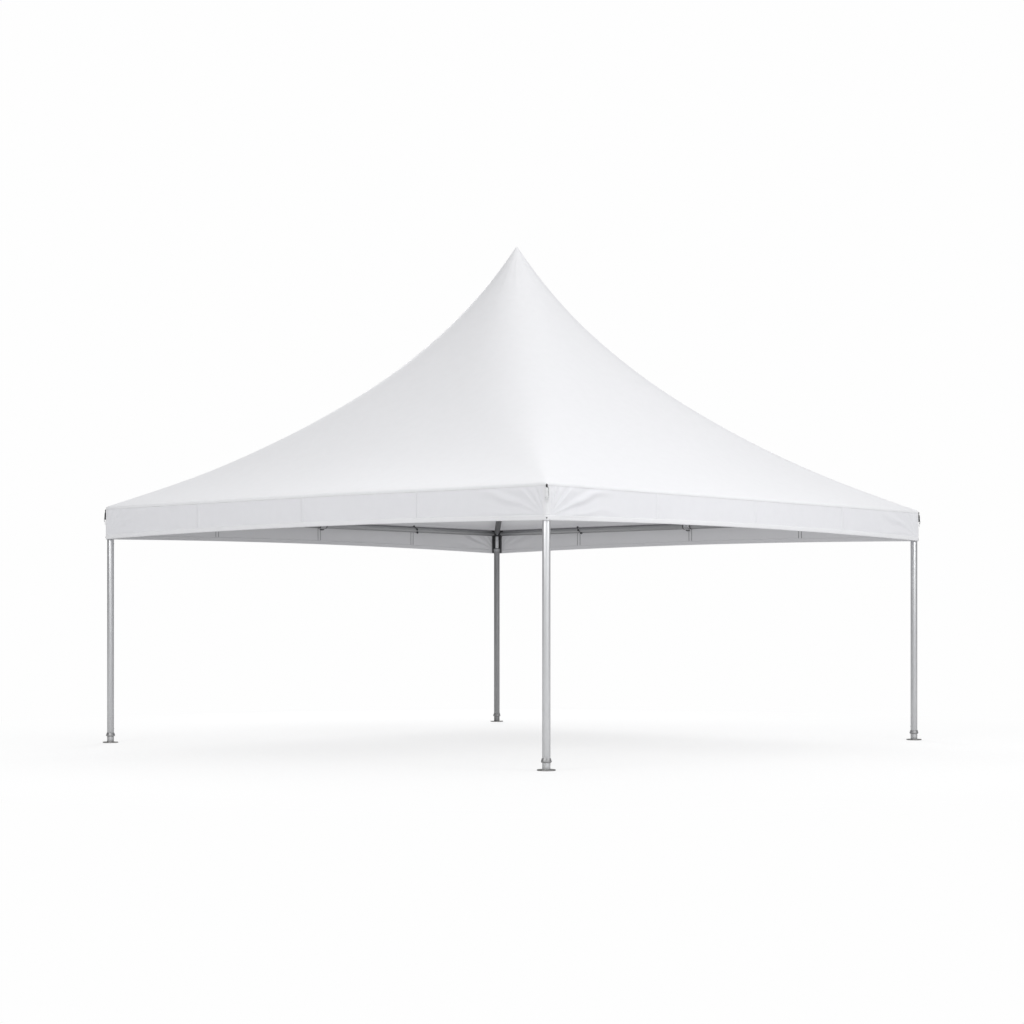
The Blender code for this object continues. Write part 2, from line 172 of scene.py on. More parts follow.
world = bpy.data.worlds.new("white_room")
world.use_nodes = True
scene.world = world
tree = world.node_tree
tree.nodes.clear()
rays = add_node(tree, "ShaderNodeLightPath")
direction = add_node(tree, "ShaderNodeTexCoord").outputs["Generated"]
sloped = add_node(tree, "ShaderNodeVectorMath", {0: direction, 1: ROOM_SLOPE}, operation="DOT_PRODUCT")
even = calculate(tree, "ADD", sloped.outputs["Value"], AMBIENT)
facing = add_node(tree, "ShaderNodeVectorMath", {0: direction, 1: WINDOW_SIDE}, operation="DOT_PRODUCT")
window = calculate(tree, "POWER", calculate(tree, "MAXIMUM", facing.outputs["Value"], 0.0), 4.0)
mirrored = calculate(tree, "MULTIPLY_ADD", window, MIRRORED_WINDOW, MIRRORED_DARK)
change = calculate(tree, "SUBTRACT", mirrored, even)
strength = calculate(tree, "MULTIPLY_ADD", rays.outputs["Is Glossy Ray"], change, even)
seen = add_node(tree, "ShaderNodeBackground", {"Color": (1, 1, 1, 1), "Strength": 0.991})
lighting = add_node(tree, "ShaderNodeBackground", {"Color": (0.985, 0.99, 1, 1), "Strength": strength})
chosen = add_node(tree, "ShaderNodeMixShader", {
    0: rays.outputs["Is Camera Ray"],
    1: lighting.outputs[0],
    2: seen.outputs[0],
})
add_node(tree, "ShaderNodeOutputWorld", {"Surface": chosen.outputs[0]})


# %% Softboxes
def softbox(name, place, aim, size, power):
    """Square area light at a place, turned towards a point."""
    light = bpy.data.lights.new(name, "AREA")
    light.shape = "SQUARE"
    light.size = size
    light.energy = power
    lamp = bpy.data.objects.new(name, light)
    lamp.location = place
    lamp.rotation_euler = (Vector(place) - Vector(aim)).to_track_quat("Z", "Y").to_euler()
    bpy.context.collection.objects.link(lamp)
    print(name, "is", round((Vector(place) - Vector(aim)).length, 1), "m from the tent")
    return lamp


TENT_MIDDLE = (0.0, 0.0, 2.5)
left_box = softbox("left_softbox", (-13.0, -2.0, 8.4), TENT_MIDDLE, 5.0, 520.0)
back_box = softbox("back_softbox", (8.0, 9.0, 10.0), TENT_MIDDLE, 6.0, 929.0)
front_box = softbox("front_softbox", (-1.0, -9.0, 6.5), TENT_MIDDLE, 4.0, 222.0)

# %% [markdown]
# ## The floor
#
# The floor is a wide pale disc that isn't part of the tent. In the photograph it is as white as
# the background, with only a faint shadow under the tent. So what the camera sees is a plain
# white glow, which gives way to the real shade of the floor near the tent. All other rays meet
# an ordinary pale floor, which throws light up under the roof. From below it is clear.

# %% Floor
FLOOR_RADIUS = 120.0
FLOOR_DEPTH = 0.001                      # just under the base plates
SHADE_SHARE = 0.325                      # of the floor's real light that is shown
GLOW_SHARE = 0.657                       # of white that is added to it
SHADE_REACH = (4.6, 8.0)                 # distances where the shade starts to fade, and ends
FLOOR_TONE = 0.66

floor_material = bpy.data.materials.new("pale_floor")
floor_material.use_nodes = True
tree = floor_material.node_tree
tree.nodes.clear()
rays = add_node(tree, "ShaderNodeLightPath")
sides = add_node(tree, "ShaderNodeNewGeometry")
plain = add_node(tree, "ShaderNodeBsdfDiffuse", {"Color": (FLOOR_TONE,) * 3 + (1,)})
shade = add_node(tree, "ShaderNodeBsdfDiffuse", {"Color": (SHADE_SHARE,) * 3 + (1,)})
glow = add_node(tree, "ShaderNodeEmission", {"Color": (1, 1, 1, 1), "Strength": GLOW_SHARE})
near_tent = add_node(tree, "ShaderNodeAddShader", {0: shade.outputs[0], 1: glow.outputs[0]})
spot = add_node(tree, "ShaderNodeTexCoord").outputs["Object"]
distance = add_node(tree, "ShaderNodeVectorMath", {0: spot}, operation="LENGTH")
fade = add_node(tree, "ShaderNodeMapRange", {0: distance.outputs["Value"], 1: SHADE_REACH[0], 2: SHADE_REACH[1]})
white = add_node(tree, "ShaderNodeEmission", {"Color": (1, 1, 1, 1), "Strength": 0.991})
shown = add_node(tree, "ShaderNodeMixShader", {
    0: fade.outputs[0],
    1: near_tent.outputs[0],
    2: white.outputs[0],
})
by_ray = add_node(tree, "ShaderNodeMixShader", {
    0: rays.outputs["Is Camera Ray"],
    1: plain.outputs[0],
    2: shown.outputs[0],
})
clear = add_node(tree, "ShaderNodeBsdfTransparent")
by_side = add_node(tree, "ShaderNodeMixShader", {
    0: sides.outputs["Backfacing"],
    1: by_ray.outputs[0],
    2: clear.outputs[0],
})
add_node(tree, "ShaderNodeOutputMaterial", {"Surface": by_side.outputs[0]})

bm = bmesh.new()
bmesh.ops.create_circle(bm, cap_ends=True, segments=96, radius=FLOOR_RADIUS)
bmesh.ops.translate(bm, vec=(0, 0, -FLOOR_DEPTH), verts=bm.verts)
floor_mesh = bpy.data.meshes.new("floor")
bm.to_mesh(floor_mesh)
bm.free()
floor_mesh.materials.append(floor_material)
floor = bpy.data.objects.new("floor", floor_mesh)
bpy.context.collection.objects.link(floor)
print("floor radius", FLOOR_RADIUS, "m")

# %% [markdown]
# ## Effects that several finishes share
#
# Cloth shows its threads through the coating, aluminium tube has fine lines along it from the
# die, castings have a sandy skin, zinc has flat crystals, edges wear bright and feet gather
# dust. Each effect is a node group, built once, with its own named inputs, and a material
# uses it with its own values. A group puts out only numbers that change over the surface.

# %% Start of a node group
def start_group(name, inputs, outputs):
    """New shader group from {label: (kind, value)} and {label: kind}; its inlet and its outlet."""
    group = bpy.data.node_groups.new(name, "ShaderNodeTree")
    for label, (kind, value) in inputs.items():
        socket = group.interface.new_socket(label, in_out="INPUT", socket_type="NodeSocket" + kind)
        if value is not None:
            socket.default_value = value
    for label, kind in outputs.items():
        group.interface.new_socket(label, in_out="OUTPUT", socket_type="NodeSocket" + kind)
    inlet = group.nodes.new("NodeGroupInput").outputs
    outlet = group.nodes.new("NodeGroupOutput").inputs
    return group, inlet, outlet


def end_group(group, outlet, results):
    """Wire the named results of a group to its outlet."""
    for label, socket in results.items():
        group.links.new(socket, outlet[label])
    print("group", group.name, "gives", ", ".join(results))


# %% [markdown]
# ### Threads under the coating
#
# Marquee cloth is a polyester net coated with soft vinyl. The net shows as a fine regular
# relief, one bump for each thread. A sine along the cloth times a sine across it gives that
# relief. It is measured in metres on the cloth's own map, so the threads follow the fabric.

# %% Group: woven net
group, inlet, outlet = start_group(
    "woven_net",
    {"Position": ("Vector", None), "Spacing": ("Float", 0.0016)},
    {"Height": "Float"},
)
place = add_node(group, "ShaderNodeSeparateXYZ", {0: inlet["Position"]})
turns = calculate(group, "DIVIDE", 2 * math.pi, inlet["Spacing"])
along = calculate(group, "SINE", calculate(group, "MULTIPLY", place.outputs["X"], turns))
across = calculate(group, "SINE", calculate(group, "MULTIPLY", place.outputs["Y"], turns))
end_group(group, outlet, {"Height": calculate(group, "MULTIPLY", along, across)})

# %% [markdown]
# ### Handling marks
#
# A top that has been folded and pulled over a frame many times isn't quite even. It has broad
# soft creases and slightly cloudy patches. Two noises give them: a slow one for the relief and
# a finer one for the cloudiness.

# %% Group: handling marks
group, inlet, outlet = start_group(
    "handling_marks",
    {"Position": ("Vector", None), "Scale": ("Float", 2.0)},
    {"Height": "Float", "Cloud": "Float"},
)
slow = add_node(group, "ShaderNodeTexNoise", {
    "Vector": inlet["Position"], "Scale": inlet["Scale"], "Detail": 3.0, "Roughness": 0.45,
})
finer = calculate(group, "MULTIPLY", inlet["Scale"], 7.0)
cloud = add_node(group, "ShaderNodeTexNoise", {
    "Vector": inlet["Position"], "Scale": finer, "Detail": 4.0, "Roughness": 0.6,
})
end_group(group, outlet, {"Height": slow.outputs["Fac"], "Cloud": cloud.outputs["Fac"]})

# %% [markdown]
# ### Die lines
#
# Aluminium tube is pushed through a die, which leaves fine straight lines along it. A noise
# that is stretched a hundred times along the tube looks like them. The tube's own map holds
# the way round in its first number and the way along in its second.

# %% Group: die lines
group, inlet, outlet = start_group(
    "die_lines",
    {"Position": ("Vector", None), "Fineness": ("Float", 700.0)},
    {"Height": "Float", "Streak": "Float"},
)
stretched = add_node(group, "ShaderNodeMapping", {"Vector": inlet["Position"], "Scale": (1.0, 0.008, 1.0)})
fine = add_node(group, "ShaderNodeTexNoise", {
    "Vector": stretched.outputs[0], "Scale": inlet["Fineness"], "Detail": 3.0, "Roughness": 0.6,
})
coarse_scale = calculate(group, "MULTIPLY", inlet["Fineness"], 0.12)
coarse = add_node(group, "ShaderNodeTexNoise", {
    "Vector": stretched.outputs[0], "Scale": coarse_scale, "Detail": 4.0, "Roughness": 0.65,
})
end_group(group, outlet, {"Height": fine.outputs["Fac"], "Streak": coarse.outputs["Fac"]})

# %% [markdown]
# ### Cast skin
#
# The fittings are cast in sand, so their skin is slightly grainy, with broader dull patches.

# %% Group: cast skin
group, inlet, outlet = start_group(
    "cast_skin",
    {"Position": ("Vector", None), "Grain": ("Float", 420.0)},
    {"Height": "Float", "Patch": "Float"},
)
grain = add_node(group, "ShaderNodeTexNoise", {
    "Vector": inlet["Position"], "Scale": inlet["Grain"], "Detail": 2.0, "Roughness": 0.7,
})
patch_scale = calculate(group, "MULTIPLY", inlet["Grain"], 0.09)
patch = add_node(group, "ShaderNodeTexNoise", {
    "Vector": inlet["Position"], "Scale": patch_scale, "Detail": 5.0, "Roughness": 0.6,
})
end_group(group, outlet, {"Height": grain.outputs["Fac"], "Patch": patch.outputs["Fac"]})

# %% [markdown]
# ### Zinc crystals
#
# Hot-dipped zinc freezes into flat crystals a few millimetres wide, each with its own shade of
# grey. Voronoi cells with a random grey each are the usual way to draw them.

# %% Group: zinc crystals
group, inlet, outlet = start_group(
    "zinc_crystals",
    {"Position": ("Vector", None), "Crystals": ("Float", 110.0)},
    {"Shade": "Float"},
)
bent = add_node(group, "ShaderNodeTexNoise", {"Vector": inlet["Position"], "Scale": 60.0})
pushed = add_node(group, "ShaderNodeVectorMath", {0: bent.outputs["Color"], 1: (0.006,) * 3}, operation="MULTIPLY")
moved = add_node(group, "ShaderNodeVectorMath", {0: inlet["Position"], 1: pushed.outputs[0]}, operation="ADD")
cells = add_node(group, "ShaderNodeTexVoronoi", {"Vector": moved.outputs[0], "Scale": inlet["Crystals"]})
greys = add_node(group, "ShaderNodeSeparateColor", {0: cells.outputs["Color"]})
end_group(group, outlet, {"Shade": greys.outputs[0]})

# %% [markdown]
# ### Dust from the ground
#
# The lowest hand's breadth of a leg is dusty, and the dust thins out upwards in blots. The
# mask falls with the height over the ground, and a noise breaks its edge.

# %% Group: ground dust
group, inlet, outlet = start_group(
    "ground_dust",
    {"Position": ("Vector", None), "Reach": ("Float", 0.3)},
    {"Mask": "Float"},
)
place = add_node(group, "ShaderNodeSeparateXYZ", {0: inlet["Position"]})
height = calculate(group, "DIVIDE", place.outputs["Z"], inlet["Reach"])
fall = calculate(group, "SUBTRACT", 1.0, height)
blots = add_node(group, "ShaderNodeTexNoise", {"Vector": inlet["Position"], "Scale": 34.0, "Detail": 5.0})
broken = calculate(group, "MULTIPLY", fall, blots.outputs["Fac"])
mask = add_node(group, "ShaderNodeMath", {0: broken, 1: 1.3}, operation="MULTIPLY", use_clamp=True)
end_group(group, outlet, {"Mask": mask.outputs[0]})

# %% [markdown]
# ### Worn edges
#
# Corners of metal rub bright where they meet hands and hammers. Every edge that is rounded
# below is also marked in an attribute called worn_edge, which is cheaper and steadier than
# looking for edges while rendering. A noise keeps the wear from being even.

# %% Group: worn edges
group, inlet, outlet = start_group(
    "worn_edges",
    {"Position": ("Vector", None), "Amount": ("Float", 1.0)},
    {"Mask": "Float"},
)
marked = add_node(group, "ShaderNodeAttribute", attribute_name="worn_edge")
rubbed = add_node(group, "ShaderNodeTexNoise", {"Vector": inlet["Position"], "Scale": 90.0, "Detail": 4.0})
wear = calculate(group, "MULTIPLY", marked.outputs["Fac"], rubbed.outputs["Fac"])
strong = calculate(group, "MULTIPLY", wear, 1.6)
mask = add_node(group, "ShaderNodeMath", {0: strong, 1: inlet["Amount"]}, operation="MULTIPLY", use_clamp=True)
end_group(group, outlet, {"Mask": mask.outputs[0]})

# %% [markdown]
# ### Painted glow for daylight through the cloth
#
# This group is a painted glow. It lets the inside of the cloth shine evenly, as white cloth does in daylight,
# also where no light reaches it from below. The painted glow is a little stronger on the side where the light stands.
# The group gives its colour.

# %% Group: painted daylight glow
group, inlet, outlet = start_group(
    "painted_daylight_glow",
    {"Position": ("Vector", None), "Strength": ("Float", 0.15)},
    {"Colour": "Color"},
)
# painted light: the glow is made stronger towards the side where the light stands
lit_side = add_node(group, "ShaderNodeVectorMath", {0: inlet["Position"], 1: (0.045, -0.040, 0.0)}, operation="DOT_PRODUCT")
uneven = calculate(group, "ADD", lit_side.outputs["Value"], 1.0)
glow = calculate(group, "MULTIPLY", uneven, inlet["Strength"])
bluish = calculate(group, "MULTIPLY", glow, 1.03)
colour = add_node(group, "ShaderNodeCombineColor", {0: glow, 1: glow, 2: bluish})
end_group(group, outlet, {"Colour": colour.outputs[0]})

# %% [markdown]
# ## The finishes
#
# Each material below is a Principled shader fed by those groups. Blending two colours by a
# mask comes up again and again, and so does turning a height into a bump, so both are helpers.

# %% Helpers for materials
def start_material(name, colour, roughness, metallic=0.0):
    """New material: its tree, its Principled shader, and the places to read patterns at."""
    material = bpy.data.materials.new(name)
    material.use_nodes = True
    shader = material.node_tree.nodes["Principled BSDF"]
    shader.inputs["Base Color"].default_value = (*colour, 1.0)
    shader.inputs["Roughness"].default_value = roughness
    shader.inputs["Metallic"].default_value = metallic
    places = add_node(material.node_tree, "ShaderNodeTexCoord").outputs
    return material, material.node_tree, shader, places


def use_group(tree, name, **inputs):
    """Place a node group in a material and give its outputs."""
    made = add_node(tree, "ShaderNodeGroup", node_tree=bpy.data.node_groups[name])
    for label, value in inputs.items():
        if isinstance(value, bpy.types.NodeSocket):
            tree.links.new(value, made.inputs[label])
        else:
            made.inputs[label].default_value = value
    return made.outputs


def blend(tree, mask, first, second):
    """Mix two colours by a mask; each is a triple or another node's output."""
    colours = [(*value, 1.0) if isinstance(value, tuple) else value for value in (first, second)]
    made = add_node(tree, "ShaderNodeMix", {0: mask, 6: colours[0], 7: colours[1]}, data_type="RGBA")
    return made.outputs[2]


def spread(tree, value, low_end, high_end):
    """Stretch a value from 0 to 1 onto another range."""
    made = add_node(tree, "ShaderNodeMapRange", {0: value, 3: low_end, 4: high_end})
    return made.outputs[0]


def bump(tree, height, depth, below=None):
    """A Bump node as deep as depth, in metres, on top of another bump if one is given."""
    inputs = {"Height": height, "Distance": depth, "Strength": 1.0}
    if below is not None:
        inputs["Normal"] = below
    return add_node(tree, "ShaderNodeBump", inputs).outputs[0]


# %% [markdown]
# ### Coated cloth
#
# The top and the valance are the same white vinyl cloth. The valance looks a touch greyer,
# because single cloth lets some light through, and its hem is double and whiter. The coating
# is smooth, so it has a soft shine, and the threads only show close by. The inside of the cloth
# is a darker copy of the same white cloth, as painted shade. A painted glow on it stands in
# for the daylight that comes through it.

# %% Coated cloth
def coated_cloth(name, colour, crease_depth, glow=0.0):
    material, tree, shader, places = start_material(name, colour, 0.62)
    marks = use_group(tree, "handling_marks", Position=places["Object"], Scale=1.7)
    net = use_group(tree, "woven_net", Position=places["UV"], Spacing=0.0016)
    darker = tuple(value * 0.972 for value in colour)
    cloud = spread(tree, marks["Cloud"], -0.3, 1.3)
    threads = spread(tree, net["Height"], 0.0, 0.12)
    tone = blend(tree, cloud, darker, colour)
    tone = blend(tree, threads, tone, tuple(value * 0.93 for value in colour))
    tree.links.new(tone, shader.inputs["Base Color"])
    tree.links.new(spread(tree, marks["Cloud"], 0.56, 0.70), shader.inputs["Roughness"])
    creased = bump(tree, marks["Height"], crease_depth)
    tree.links.new(bump(tree, net["Height"], 0.00004, creased), shader.inputs["Normal"])
    shader.inputs["Specular IOR Level"].default_value = 0.15
    # glow sets the painted daylight glow, an emission on the cloth that stands in for light through it
    if glow:
        daylight = use_group(tree, "painted_daylight_glow", Position=places["Object"], Strength=glow)
        tree.links.new(daylight["Colour"], shader.inputs["Emission Color"])
        shader.inputs["Emission Strength"].default_value = 1.0
    return material


roof_cloth = coated_cloth("roof_vinyl", (0.875, 0.875, 0.890), 0.004)
# The inside finishes are darker copies of the white cloth, painted shade, with the painted glow on top.
inside_roof = coated_cloth("inside_of_the_top_painted_shade_and_glow", (0.44, 0.44, 0.45), 0.003, glow=0.235)
inside_cloth = coated_cloth("inside_of_the_valance_painted_shade_and_glow", (0.49, 0.49, 0.50), 0.003, glow=0.16)
wall_cloth = coated_cloth("valance_vinyl", (0.865, 0.866, 0.892), 0.003)
hem_cloth = coated_cloth("hem_vinyl", (0.885, 0.886, 0.902), 0.001)
print("cloth finishes made")

# %% [markdown]
# ### Metals
#
# Three metals carry the tent: drawn aluminium tube with a satin skin, cast aluminium for the
# fittings, and galvanised steel for the base plates, bolts and buckles. A metal reflects less
# at a slant than straight on before it turns bright at the very edge, and the tint of the
# shader's specular sets that, which gives the tubes their dark outlines. The aluminium comes in
# three copies of one finish, lighter and darker, as painted light and shade. The light copy is for
# the front leg, and the dark one is for the far leg and for the tubes that stand under the roof.

# %% Drawn aluminium
# painted_light_share makes the whole finish lighter or darker: painted light and shade
def drawn_aluminium(name, painted_light_share):
    def shaded(*values):
        return tuple(value * painted_light_share for value in values)

    material, tree, shader, places = start_material(name, shaded(0.78, 0.785, 0.80), 0.50, 0.80)
    lines = use_group(tree, "die_lines", Position=places["UV"], Fineness=700.0)
    dust = use_group(tree, "ground_dust", Position=places["Object"], Reach=0.45)
    worn = use_group(tree, "worn_edges", Position=places["Object"], Amount=1.0)
    tone = blend(tree, spread(tree, lines["Streak"], -0.4, 1.4), shaded(0.74, 0.745, 0.76), shaded(0.83, 0.835, 0.845))
    tone = blend(tree, worn["Mask"], tone, shaded(0.88, 0.88, 0.89))
    tone = blend(tree, calculate(tree, "MULTIPLY", dust["Mask"], 0.14), tone, (0.36, 0.34, 0.31))
    tree.links.new(tone, shader.inputs["Base Color"])
    dull = calculate(tree, "ADD", spread(tree, lines["Streak"], 0.34, 0.48), calculate(tree, "MULTIPLY", dust["Mask"], 0.15))
    tree.links.new(dull, shader.inputs["Roughness"])
    tree.links.new(bump(tree, lines["Height"], 0.00002), shader.inputs["Normal"])
    shader.inputs["Specular Tint"].default_value = (0.10, 0.10, 0.10, 1.0)
    return material


# Painted light for the front leg, painted shade for the far leg and the tubes in the tent's shade.
lit_tube = drawn_aluminium("aluminium_painted_light", 1.05)
plain_tube = drawn_aluminium("satin_aluminium", 0.93)
shaded_tube = drawn_aluminium("aluminium_painted_shade", 0.52)
LEG_PAINTED_LIGHT = {
    "front_left": lit_tube,
    "front_right": plain_tube,
    "back_left": plain_tube,
    "back_right": shaded_tube,
}
print("tube finish made")


# %% Cast aluminium and zinc-coated steel
def cast_metal(name, dark, pale, roughness):
    material, tree, shader, places = start_material(name, pale, roughness, 1.0)
    skin = use_group(tree, "cast_skin", Position=places["Object"], Grain=420.0)
    worn = use_group(tree, "worn_edges", Position=places["Object"], Amount=0.9)
    dust = use_group(tree, "ground_dust", Position=places["Object"], Reach=0.2)
    tone = blend(tree, spread(tree, skin["Patch"], -0.6, 1.6), dark, pale)
    tone = blend(tree, worn["Mask"], tone, (0.74, 0.74, 0.75))
    tone = blend(tree, calculate(tree, "MULTIPLY", dust["Mask"], 0.5), tone, (0.33, 0.31, 0.28))
    tree.links.new(tone, shader.inputs["Base Color"])
    tree.links.new(spread(tree, skin["Patch"], roughness - 0.08, roughness + 0.12), shader.inputs["Roughness"])
    tree.links.new(bump(tree, skin["Height"], 0.0002), shader.inputs["Normal"])
    shader.inputs["Specular Tint"].default_value = (0.35, 0.35, 0.36, 1.0)
    return material


def zinc_metal(name, dark, pale, roughness):
    material, tree, shader, places = start_material(name, pale, roughness, 1.0)
    zinc = use_group(tree, "zinc_crystals", Position=places["Object"], Crystals=110.0)
    worn = use_group(tree, "worn_edges", Position=places["Object"], Amount=0.8)
    dust = use_group(tree, "ground_dust", Position=places["Object"], Reach=0.16)
    tone = blend(tree, zinc["Shade"], dark, pale)
    tone = blend(tree, worn["Mask"], tone, (0.70, 0.70, 0.71))
    tone = blend(tree, calculate(tree, "MULTIPLY", dust["Mask"], 0.6), tone, (0.32, 0.30, 0.27))
    tree.links.new(tone, shader.inputs["Base Color"])
    tree.links.new(spread(tree, zinc["Shade"], roughness - 0.08, roughness + 0.08), shader.inputs["Roughness"])
    return material


cast_alloy = cast_metal("cast_aluminium", (0.42, 0.425, 0.435), (0.60, 0.605, 0.615), 0.50)
# The corner castings are painted near black, as shade.
shaded_casting = cast_metal("casting_painted_shade", (0.085, 0.085, 0.088), (0.135, 0.135, 0.14), 0.55)
plate_zinc = zinc_metal("galvanised_steel", (0.30, 0.305, 0.315), (0.44, 0.445, 0.455), 0.48)
bolt_zinc = zinc_metal("bright_zinc", (0.55, 0.56, 0.57), (0.72, 0.73, 0.74), 0.32)
buckle_steel = zinc_metal("blackened_steel", (0.014, 0.014, 0.015), (0.030, 0.030, 0.032), 0.50)
print("cast and zinc finishes made")

# %% [markdown]
# ### Webbing and rubber
#
# The straps are woven white polyester webbing, much coarser than the top: the same woven group
# serves with a wider spacing. The ties are dark elastic cord, and the linings of the eyelets
# are black rubber. The grey, the dark corner colour and, in part, the black are painted shade.
# They colour strips laid where the cloth and the tubes are in shadow.

# %% Webbing and rubber
def webbing(name, colour, spacing):
    material, tree, shader, places = start_material(name, colour, 0.8)
    net = use_group(tree, "woven_net", Position=places["UV"], Spacing=spacing)
    marks = use_group(tree, "handling_marks", Position=places["Object"], Scale=30.0)
    darker = tuple(value * 0.88 for value in colour)
    tone = blend(tree, spread(tree, net["Height"], 0.1, 0.6), colour, darker)
    tone = blend(tree, spread(tree, marks["Cloud"], 0.0, 0.25), tone, darker)
    tree.links.new(tone, shader.inputs["Base Color"])
    tree.links.new(bump(tree, net["Height"], 0.0004), shader.inputs["Normal"])
    shader.inputs["Sheen Weight"].default_value = 0.2
    return material


# grey for painted shade along seams and along the tops of the eave tubes
painted_shade_grey = webbing("painted_shade_grey", (0.20, 0.20, 0.21), 0.0024)
white_webbing = webbing("white_webbing", (0.885, 0.886, 0.895), 0.0024)
dark_elastic = webbing("dark_elastic", (0.050, 0.050, 0.055), 0.0016)
# dark colour for the painted shade inside the corners
corner_shade_material = webbing("corner_painted_shade", (0.17, 0.17, 0.175), 0.0014)
# black for rubber parts, and for painted shade at the tube ends and behind the straps
black_rubber_and_painted_shade = cast_metal("black_rubber_and_painted_shade", (0.018, 0.018, 0.018), (0.030, 0.030, 0.030), 0.7)
black_rubber_and_painted_shade.node_tree.nodes["Principled BSDF"].inputs["Metallic"].default_value = 0.0
print("webbing and rubber made")

# %% [markdown]
# ## The form of the top
#
# A high-peak top is cut so that it hangs like a flame: round at the tip, square at the eave.
# Its hips follow a logarithm, steep near the peak and flatter towards the corners. A level cut
# through it is a squared circle, |x|^p + |y|^p = r^p, whose power p grows from 2 at the peak to
# a very large number at the eave. The model's own panels follow the same two rules.

# %% Hip curve and level sections
PEAK_HEIGHT = 5.2505                     # where the four hips would meet
EAVE_BREAK = 2.4470                      # where the roof would meet the face of the valance
HIP_SHARPNESS = 1.165                    # a smaller length gives a sharper peak
CORNER_SQUARENESS = 165
CORNER_INVERSE = 1 / CORNER_SQUARENESS
HIP_LENGTH = FABRIC_HALF * 2 ** (0.5 - CORNER_INVERSE)


def hip_height(radius):
    """Height of the top over its hips, at a distance from the centre."""
    fall = math.log((radius + HIP_SHARPNESS) / HIP_SHARPNESS)
    whole = math.log((HIP_LENGTH + HIP_SHARPNESS) / HIP_SHARPNESS)
    return PEAK_HEIGHT - (PEAK_HEIGHT - EAVE_BREAK) * fall / whole


def level_radius(hip_radius, angle):
    """Distance from the centre to the level section through a point of the hips."""
    openness = (1 - min(hip_radius / HIP_LENGTH, 1.0)) ** 2
    inverse = CORNER_INVERSE + (0.5 - CORNER_INVERSE) * openness
    half = hip_radius * 2 ** (inverse - 0.5)
    power = 1 / inverse
    reach = abs(math.cos(angle)) ** power + abs(math.sin(angle)) ** power
    return half / reach ** inverse


print("hip from the centre to a corner:", round(HIP_LENGTH, 3), "m")

# %% [markdown]
# ## Wrinkles in the valance
#
# The valance hangs free under the eave tube, so it isn't flat. It has slow waves that grow
# towards the hem, a fan of tight folds that start at the foot of each corner, where the cloth is
# pulled round the leg, and small crumples beside the corner straps. One function says how far
# the cloth stands out at a place, and every strip that lies on the valance uses it, so the
# layers never part. The folds fade out near the eave, where the tube holds the cloth straight.

# %% Relief of the valance
FAN_FOOT = (0.020, 0.035)                # from the corner, and over the hem
FAN_STRENGTH = {
    ("front_left", "front"): 1.0,
    ("front_left", "left"): 0.6,
    ("back_left", "left"): 0.30,
    ("front_right", "front"): 0.40,
    ("front_right", "right"): 0.8,
    ("back_right", "right"): 0.5,
    ("back_right", "back"): 0.9,
    ("back_left", "back"): 0.6,
}


def ease(value, start, end):
    """Smooth step from 0 at start to 1 at end."""
    share = min(max((value - start) / (end - start), 0.0), 1.0)
    return share * share * (3 - 2 * share)


def fan_folds(x, y, z, strength):
    """Folds that fan out from the foot of a corner."""
    across = FABRIC_HALF - min(abs(x), abs(y)) - FAN_FOOT[0]
    up = z - HEM_HEIGHT - FAN_FOOT[1]
    reach = math.hypot(across, up)
    slant = math.atan2(up, across) + 0.10 * noise.noise(Vector((x * 3, y * 3, z * 3)))
    rays = math.sin(slant * 21 + 0.4) + 0.4 * math.sin(slant * 37 + 0.9)
    in_fan = ease(slant, 0.0, 0.12) * (1 - ease(slant, 1.30, 1.52))
    window = ease(reach, 0.02, 0.12) * (1 - ease(reach, 0.50, 1.10))
    return 0.022 * min(reach, 0.42) * strength * (rays + 0.9) * in_fan * window


def eave_rise(x, y):
    """How much higher than its plan the edge of the top lies, at a place seen from above."""
    from_left = FABRIC_HALF + x
    from_edge = FABRIC_HALF - max(abs(x), abs(y))
    slack = 0.006 * (1 - ease(from_edge, 0.0, 0.9))
    return slack + 0.015 * (1 - ease(from_left, 0.0, 0.9)) * (1 - ease(-y, 0.2, 2.6))


def wall_relief(x, y, z):
    """How far the valance stands out of its plane at a place."""
    corner = ("front" if y < 0 else "back") + "_" + ("left" if x < 0 else "right")
    if abs(x) > abs(y):
        facing = "left" if x < 0 else "right"
    else:
        facing = "front" if y < 0 else "back"
    over_hem = ease(z, EAVE_BREAK, HEM_HEIGHT)
    distance = FABRIC_HALF - min(abs(x), abs(y))
    waves = 0.0035 * noise.noise(Vector((x * 1.6, y * 1.6, z * 0.9 + 4)))
    ripples = 0.0016 * noise.noise(Vector((x * 5.0, y * 5.0, z * 3.0 + 9)))
    crumple = noise.noise(Vector((x * 26, y * 26, z * 17)))
    crumple += 0.6 * noise.noise(Vector((x * 50, y * 50, z * 34 + 3)))
    beside_strap = (1 - ease(distance, 0.05, 0.20)) * ease(z, HEM_HEIGHT + 0.06, HEM_HEIGHT + 0.14)
    folds = fan_folds(x, y, z, FAN_STRENGTH[corner, facing])
    held = ease(z, EAVE_BREAK - 0.015, EAVE_BREAK - 0.075)
    clear_of_corner = ease(distance, 0.0, 0.03)
    relief = (waves + ripples) * over_hem + 0.0026 * crumple * beside_strap + folds * clear_of_corner
    return relief * held


print("relief at the foot of the front corner:", round(1000 * wall_relief(-2.9, -3.062, 2.2), 2), "mm")

# %% [markdown]
# ## One sheet for the top
#
# The real top is welded into one piece, so it is built as one continuous sheet. Its profile
# runs from the tip down a hip, bends over the eave tube and turns down a little way, where it
# overlaps the valance. Spinning that profile gives a round cone, and a last step moves every
# point of each ring onto its squared circle. More columns are crowded near the corners, where
# the form bends most. A Solidify modifier gives the cloth its thickness.

